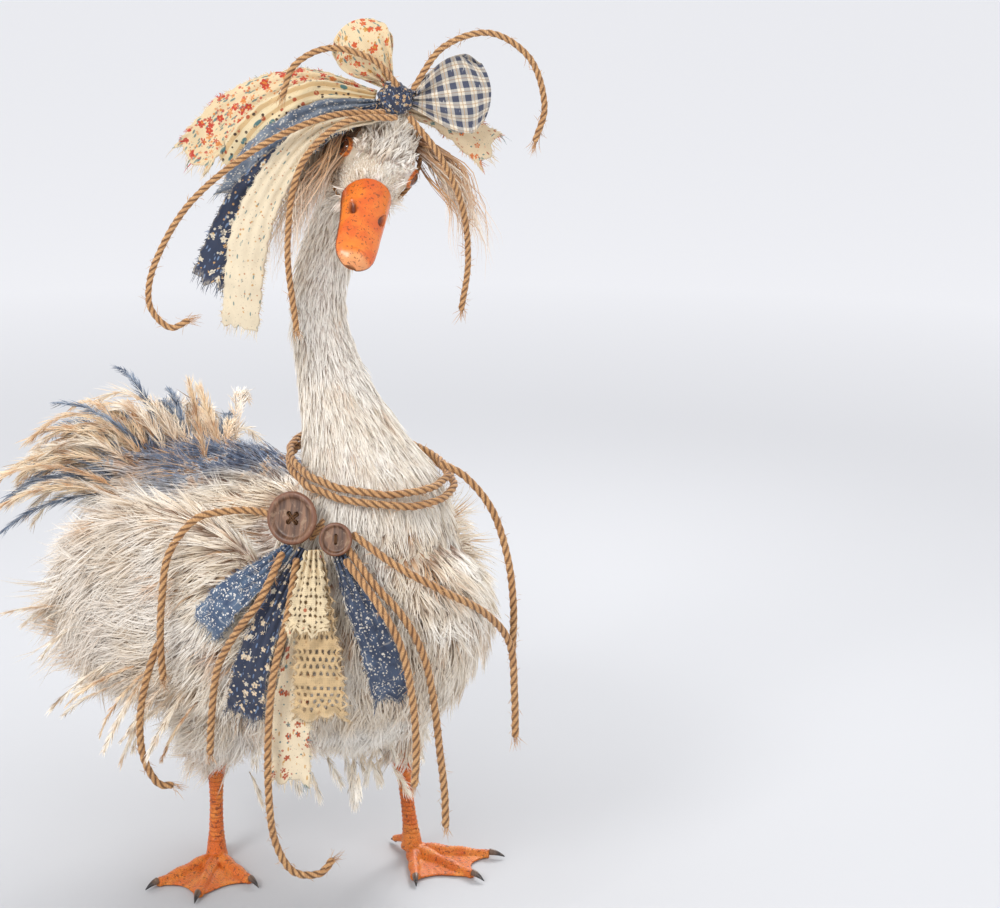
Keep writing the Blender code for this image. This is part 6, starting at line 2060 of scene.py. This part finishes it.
def claw_finish():
    """Dark horn, paler at the root, with fine lines and worn specks."""
    made = Finish("claw_horn", 0.38, Coat_Weight=0.2)
    here = made.place()
    lines = made.noise(made.place(scale=(1, 1, 3)), 500.0, 3.0)
    colour = made.mix(made.step(made.value("along"), 0.1, 0.75), rgb(120, 92, 72), hue("claw"))
    colour = made.stain(colour, rgb(26, 24, 26), lines, 0.4)
    colour = made.stain(colour, rgb(150, 132, 116), made.step(made.noise(here, 260.0), 0.58, 0.68), 0.5)
    return made.finish(colour, None, lines, 0.4, 0.0004)


def make_claws():
    """A curved horn on every toe: radius falls as 1 - t^1.5, the path bends down to the floor."""
    material = claw_finish()
    for name, (side, heel, turn) in HEELS.items():
        parts, values = [], []
        toes = [(side * angle, length - 0.0095, 0.0062, 0.0155, 0.0031) for angle, length in TOES]
        toes.append((pi, 0.024, 0.005, 0.0085, 0.0026))
        for angle, reach, high, length, radius in toes:
            t = ramp(26)
            path = foot_place(heel, turn, angle, reach + t * length, high - (high - 0.0022) * t**2)
            half = radius * (1 - t**1.5) + 0.00045
            points, faces = closed_tube(rings_along(path, half * 0.92, half, 18))
            points[:, 2] = np.maximum(points[:, 2], 0.0)
            parts.append((points, faces))
            values.append(np.append(np.repeat(t, 18), (0, 1)))
        points, faces = joined(parts)
        made = make_object("horn_claws_" + name, points, faces, values={"along": np.concatenate(values)},
                           material=material, slot="claw")
        outward(made)
        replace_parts(made, *(f"claw_{toe}_{name}" for toe in ("inner", "middle", "outer")))


# ---- stage ----
SENSOR_WIDTH, FOCAL_WIDTHS = 36.0, 2.155  # millimetres; focal length in sensor widths
AIM_ASIDE, AIM_DOWN = 200 / 2155, 0.26  # slopes of the camera's view


def make_stage(size):
    """A wide pale floor with painted shade near the goose that evens out the lamps' light on it, an even
    pale sky, a key, a fill and a rim light, and the camera.
    """
    finish = Finish("floor", 0.9)
    here = finish.place()
    away = finish.node("VectorMath", here, operation="LENGTH").outputs["Value"]
    # painted shade: darker near the goose, where the lamps light the floor most, paling to the floor colour
    # 3.3 m away
    far = finish.node("MapRange", away, 0.0, 3.3, 0.0, 1.0).outputs[0]
    near_floor_shade = finish.stain(rgb(188, 189, 192), rgb(183, 184, 188), finish.noise(here, 1.4, 2.0), 0.06)
    material = finish.finish(finish.mix(far, near_floor_shade, hue("floor")))
    reach = np.linspace(-40, 40, 17)
    points = stacked(reach[None], reach[:, None], np.full((17, 17), -0.0004))
    floor = make_object("floor", points, grid_faces(17, 17), material=material)
    scene = bpy.context.scene
    lens = bpy.data.cameras.new("camera")
    lens.sensor_width, lens.lens = SENSOR_WIDTH, SENSOR_WIDTH * FOCAL_WIDTHS
    camera = bpy.data.objects.new("camera", lens)
    scene.collection.objects.link(camera)
    camera.location = (SHIFT[0], SHIFT[1] - size.camera_distance, size.camera_height)
    yaw, pitch = atan(AIM_ASIDE), atan(AIM_DOWN)
    way = Vector((sin(yaw) * cos(pitch), cos(yaw) * cos(pitch), -sin(pitch)))
    camera.rotation_euler = way.to_track_quat("-Z", "Y").to_euler()
    scene.camera = camera
    aim = Vector((0.0, 0.0, 0.42))
    lamps = (("key", (-1.7, -2.5, 2.4), 40, 1.1), ("fill", (2.4, -1.9, 1.2), 7, 2.0),
             ("rim", (1.1, 2.2, 2.2), 9, 1.2))
    for name, place, power, wide in lamps:
        lamp = bpy.data.lights.new(name, "AREA")
        lamp.energy, lamp.size = power * size.light, wide
        lamp.spread = radians(60 if name == "rim" else 150)
        made = bpy.data.objects.new(name, lamp)
        scene.collection.objects.link(made)
        made.location = place
        made.rotation_euler = (aim - made.location).to_track_quat("-Z", "Y").to_euler()
    world = bpy.data.worlds.new("studio")
    world.use_nodes = True
    sky = world.node_tree.nodes["Background"].inputs
    sky[0].default_value, sky[1].default_value = (*rgb(246, 247, 250), 1), 0.94
    scene.world = world
    scene.view_settings.view_transform = "Standard"


# ---- operators ----
class GOOSE_OT_stage(bpy.types.Operator):
    """Build the floor, the lights and the camera"""
    bl_idname, bl_label = "goose.stage", "Stage"

    def execute(self, context):
        make_stage(context.scene.goose_sizes)
        return {"FINISHED"}


class GOOSE_OT_free_twines(bpy.types.Operator):
    """Build the thirteen hanging twines, each a free cord"""
    bl_idname, bl_label = "goose.free_twines", "Free twines"

    def execute(self, context):
        make_free_twines(context.scene.goose_sizes)
        return {"FINISHED"}


class GOOSE_OT_held_twines(bpy.types.Operator):
    """Build the collar's two rings of twine and the head band"""
    bl_idname, bl_label = "goose.held_twines", "Collar and head band"

    def execute(self, context):
        make_held_twines(context.scene.goose_sizes)
        return {"FINISHED"}


class GOOSE_OT_collar_knot(bpy.types.Operator):
    """Build the knot that ties the collar"""
    bl_idname, bl_label = "goose.collar_knot", "Collar knot"

    def execute(self, context):
        make_collar_knot()
        return {"FINISHED"}


class GOOSE_OT_skin(bpy.types.Operator):
    """Build the goose's skin, with its lids, legs and webs"""
    bl_idname, bl_label = "goose.skin", "Skin"

    def execute(self, context):
        make_skin()
        return {"FINISHED"}


class GOOSE_OT_bill(bpy.types.Operator):
    """Build both halves of the bill"""
    bl_idname, bl_label = "goose.bill", "Bill"

    def execute(self, context):
        make_bill()
        return {"FINISHED"}


class GOOSE_OT_eyes(bpy.types.Operator):
    """Build both eyeballs"""
    bl_idname, bl_label = "goose.eyes", "Eyes"

    def execute(self, context):
        make_eyes()
        return {"FINISHED"}


class GOOSE_OT_claws(bpy.types.Operator):
    """Build the claws of both feet"""
    bl_idname, bl_label = "goose.claws", "Claws"

    def execute(self, context):
        make_claws()
        return {"FINISHED"}


class GOOSE_OT_trunk_coat(bpy.types.Operator):
    """Build the vanes and locks of trunk, wings, rump and thighs"""
    bl_idname, bl_label = "goose.trunk_coat", "Trunk coat"

    def execute(self, context):
        make_trunk_coat(context.scene.goose_sizes)
        return {"FINISHED"}


class GOOSE_OT_neck_coat(bpy.types.Operator):
    """Build the neck's down and wisps"""
    bl_idname, bl_label = "goose.neck_coat", "Neck coat"

    def execute(self, context):
        make_neck_coat(context.scene.goose_sizes)
        return {"FINISHED"}


class GOOSE_OT_head_coat(bpy.types.Operator):
    """Build the head's down, crown, cheeks and hanging wisps"""
    bl_idname, bl_label = "goose.head_coat", "Head coat"

    def execute(self, context):
        make_head_coat(context.scene.goose_sizes)
        return {"FINISHED"}


class GOOSE_OT_plumes(bpy.types.Operator):
    """Build the plumes of tail, back, wings and belly"""
    bl_idname, bl_label = "goose.plumes", "Plumes"

    def execute(self, context):
        make_tail_plumes()
        return {"FINISHED"}


class GOOSE_OT_rags(bpy.types.Operator):
    """Build the twelve torn strips of head bow and collar"""
    bl_idname, bl_label = "goose.rags", "Rags"

    def execute(self, context):
        make_rags(context.scene.goose_sizes)
        return {"FINISHED"}


class GOOSE_OT_bow(bpy.types.Operator):
    """Build the bow's two loops and its knot"""
    bl_idname, bl_label = "goose.bow", "Bow"

    def execute(self, context):
        make_bow(context.scene.goose_sizes)
        return {"FINISHED"}


class GOOSE_OT_buttons(bpy.types.Operator):
    """Build the two wooden buttons and their stitches"""
    bl_idname, bl_label = "goose.buttons", "Buttons"

    def execute(self, context):
        make_buttons()
        return {"FINISHED"}


OPERATORS = (
    GOOSE_OT_stage, GOOSE_OT_free_twines, GOOSE_OT_held_twines, GOOSE_OT_collar_knot, GOOSE_OT_skin,
    GOOSE_OT_bill, GOOSE_OT_eyes, GOOSE_OT_claws, GOOSE_OT_trunk_coat, GOOSE_OT_neck_coat,
    GOOSE_OT_head_coat, GOOSE_OT_plumes, GOOSE_OT_rags, GOOSE_OT_bow, GOOSE_OT_buttons,
)


class GOOSE_PT_sidebar(bpy.types.Panel):
    """The goose's operators, then its sizes and colours."""
    bl_label = "Domestic goose"
    bl_space_type, bl_region_type, bl_category = "VIEW_3D", "UI", "Goose"

    def draw(self, context):
        column = self.layout.column()
        for operator in OPERATORS:
            column.operator(operator.bl_idname)
        for group in (context.scene.goose_sizes, context.scene.goose_colours):
            for name in type(group).__annotations__:
                column.prop(group, name)


CLASSES = (GooseSizes, GooseColours, *OPERATORS, GOOSE_PT_sidebar)


def register():
    for made in CLASSES:
        bpy.utils.register_class(made)
    bpy.types.Scene.goose_sizes = PointerProperty(type=GooseSizes)
    bpy.types.Scene.goose_colours = PointerProperty(type=GooseColours)


def unregister():
    del bpy.types.Scene.goose_colours, bpy.types.Scene.goose_sizes
    for made in reversed(CLASSES):
        bpy.utils.unregister_class(made)


def main():
    """Builds every piece in order."""
    register()
    bpy.ops.goose.stage()
    bpy.ops.goose.free_twines()
    bpy.ops.goose.held_twines()
    bpy.ops.goose.collar_knot()
    bpy.ops.goose.skin()
    bpy.ops.goose.bill()
    bpy.ops.goose.eyes()
    bpy.ops.goose.claws()
    bpy.ops.goose.trunk_coat()
    bpy.ops.goose.neck_coat()
    bpy.ops.goose.head_coat()
    bpy.ops.goose.plumes()
    bpy.ops.goose.rags()
    bpy.ops.goose.bow()
    bpy.ops.goose.buttons()


if __name__ == "__main__":
    main()
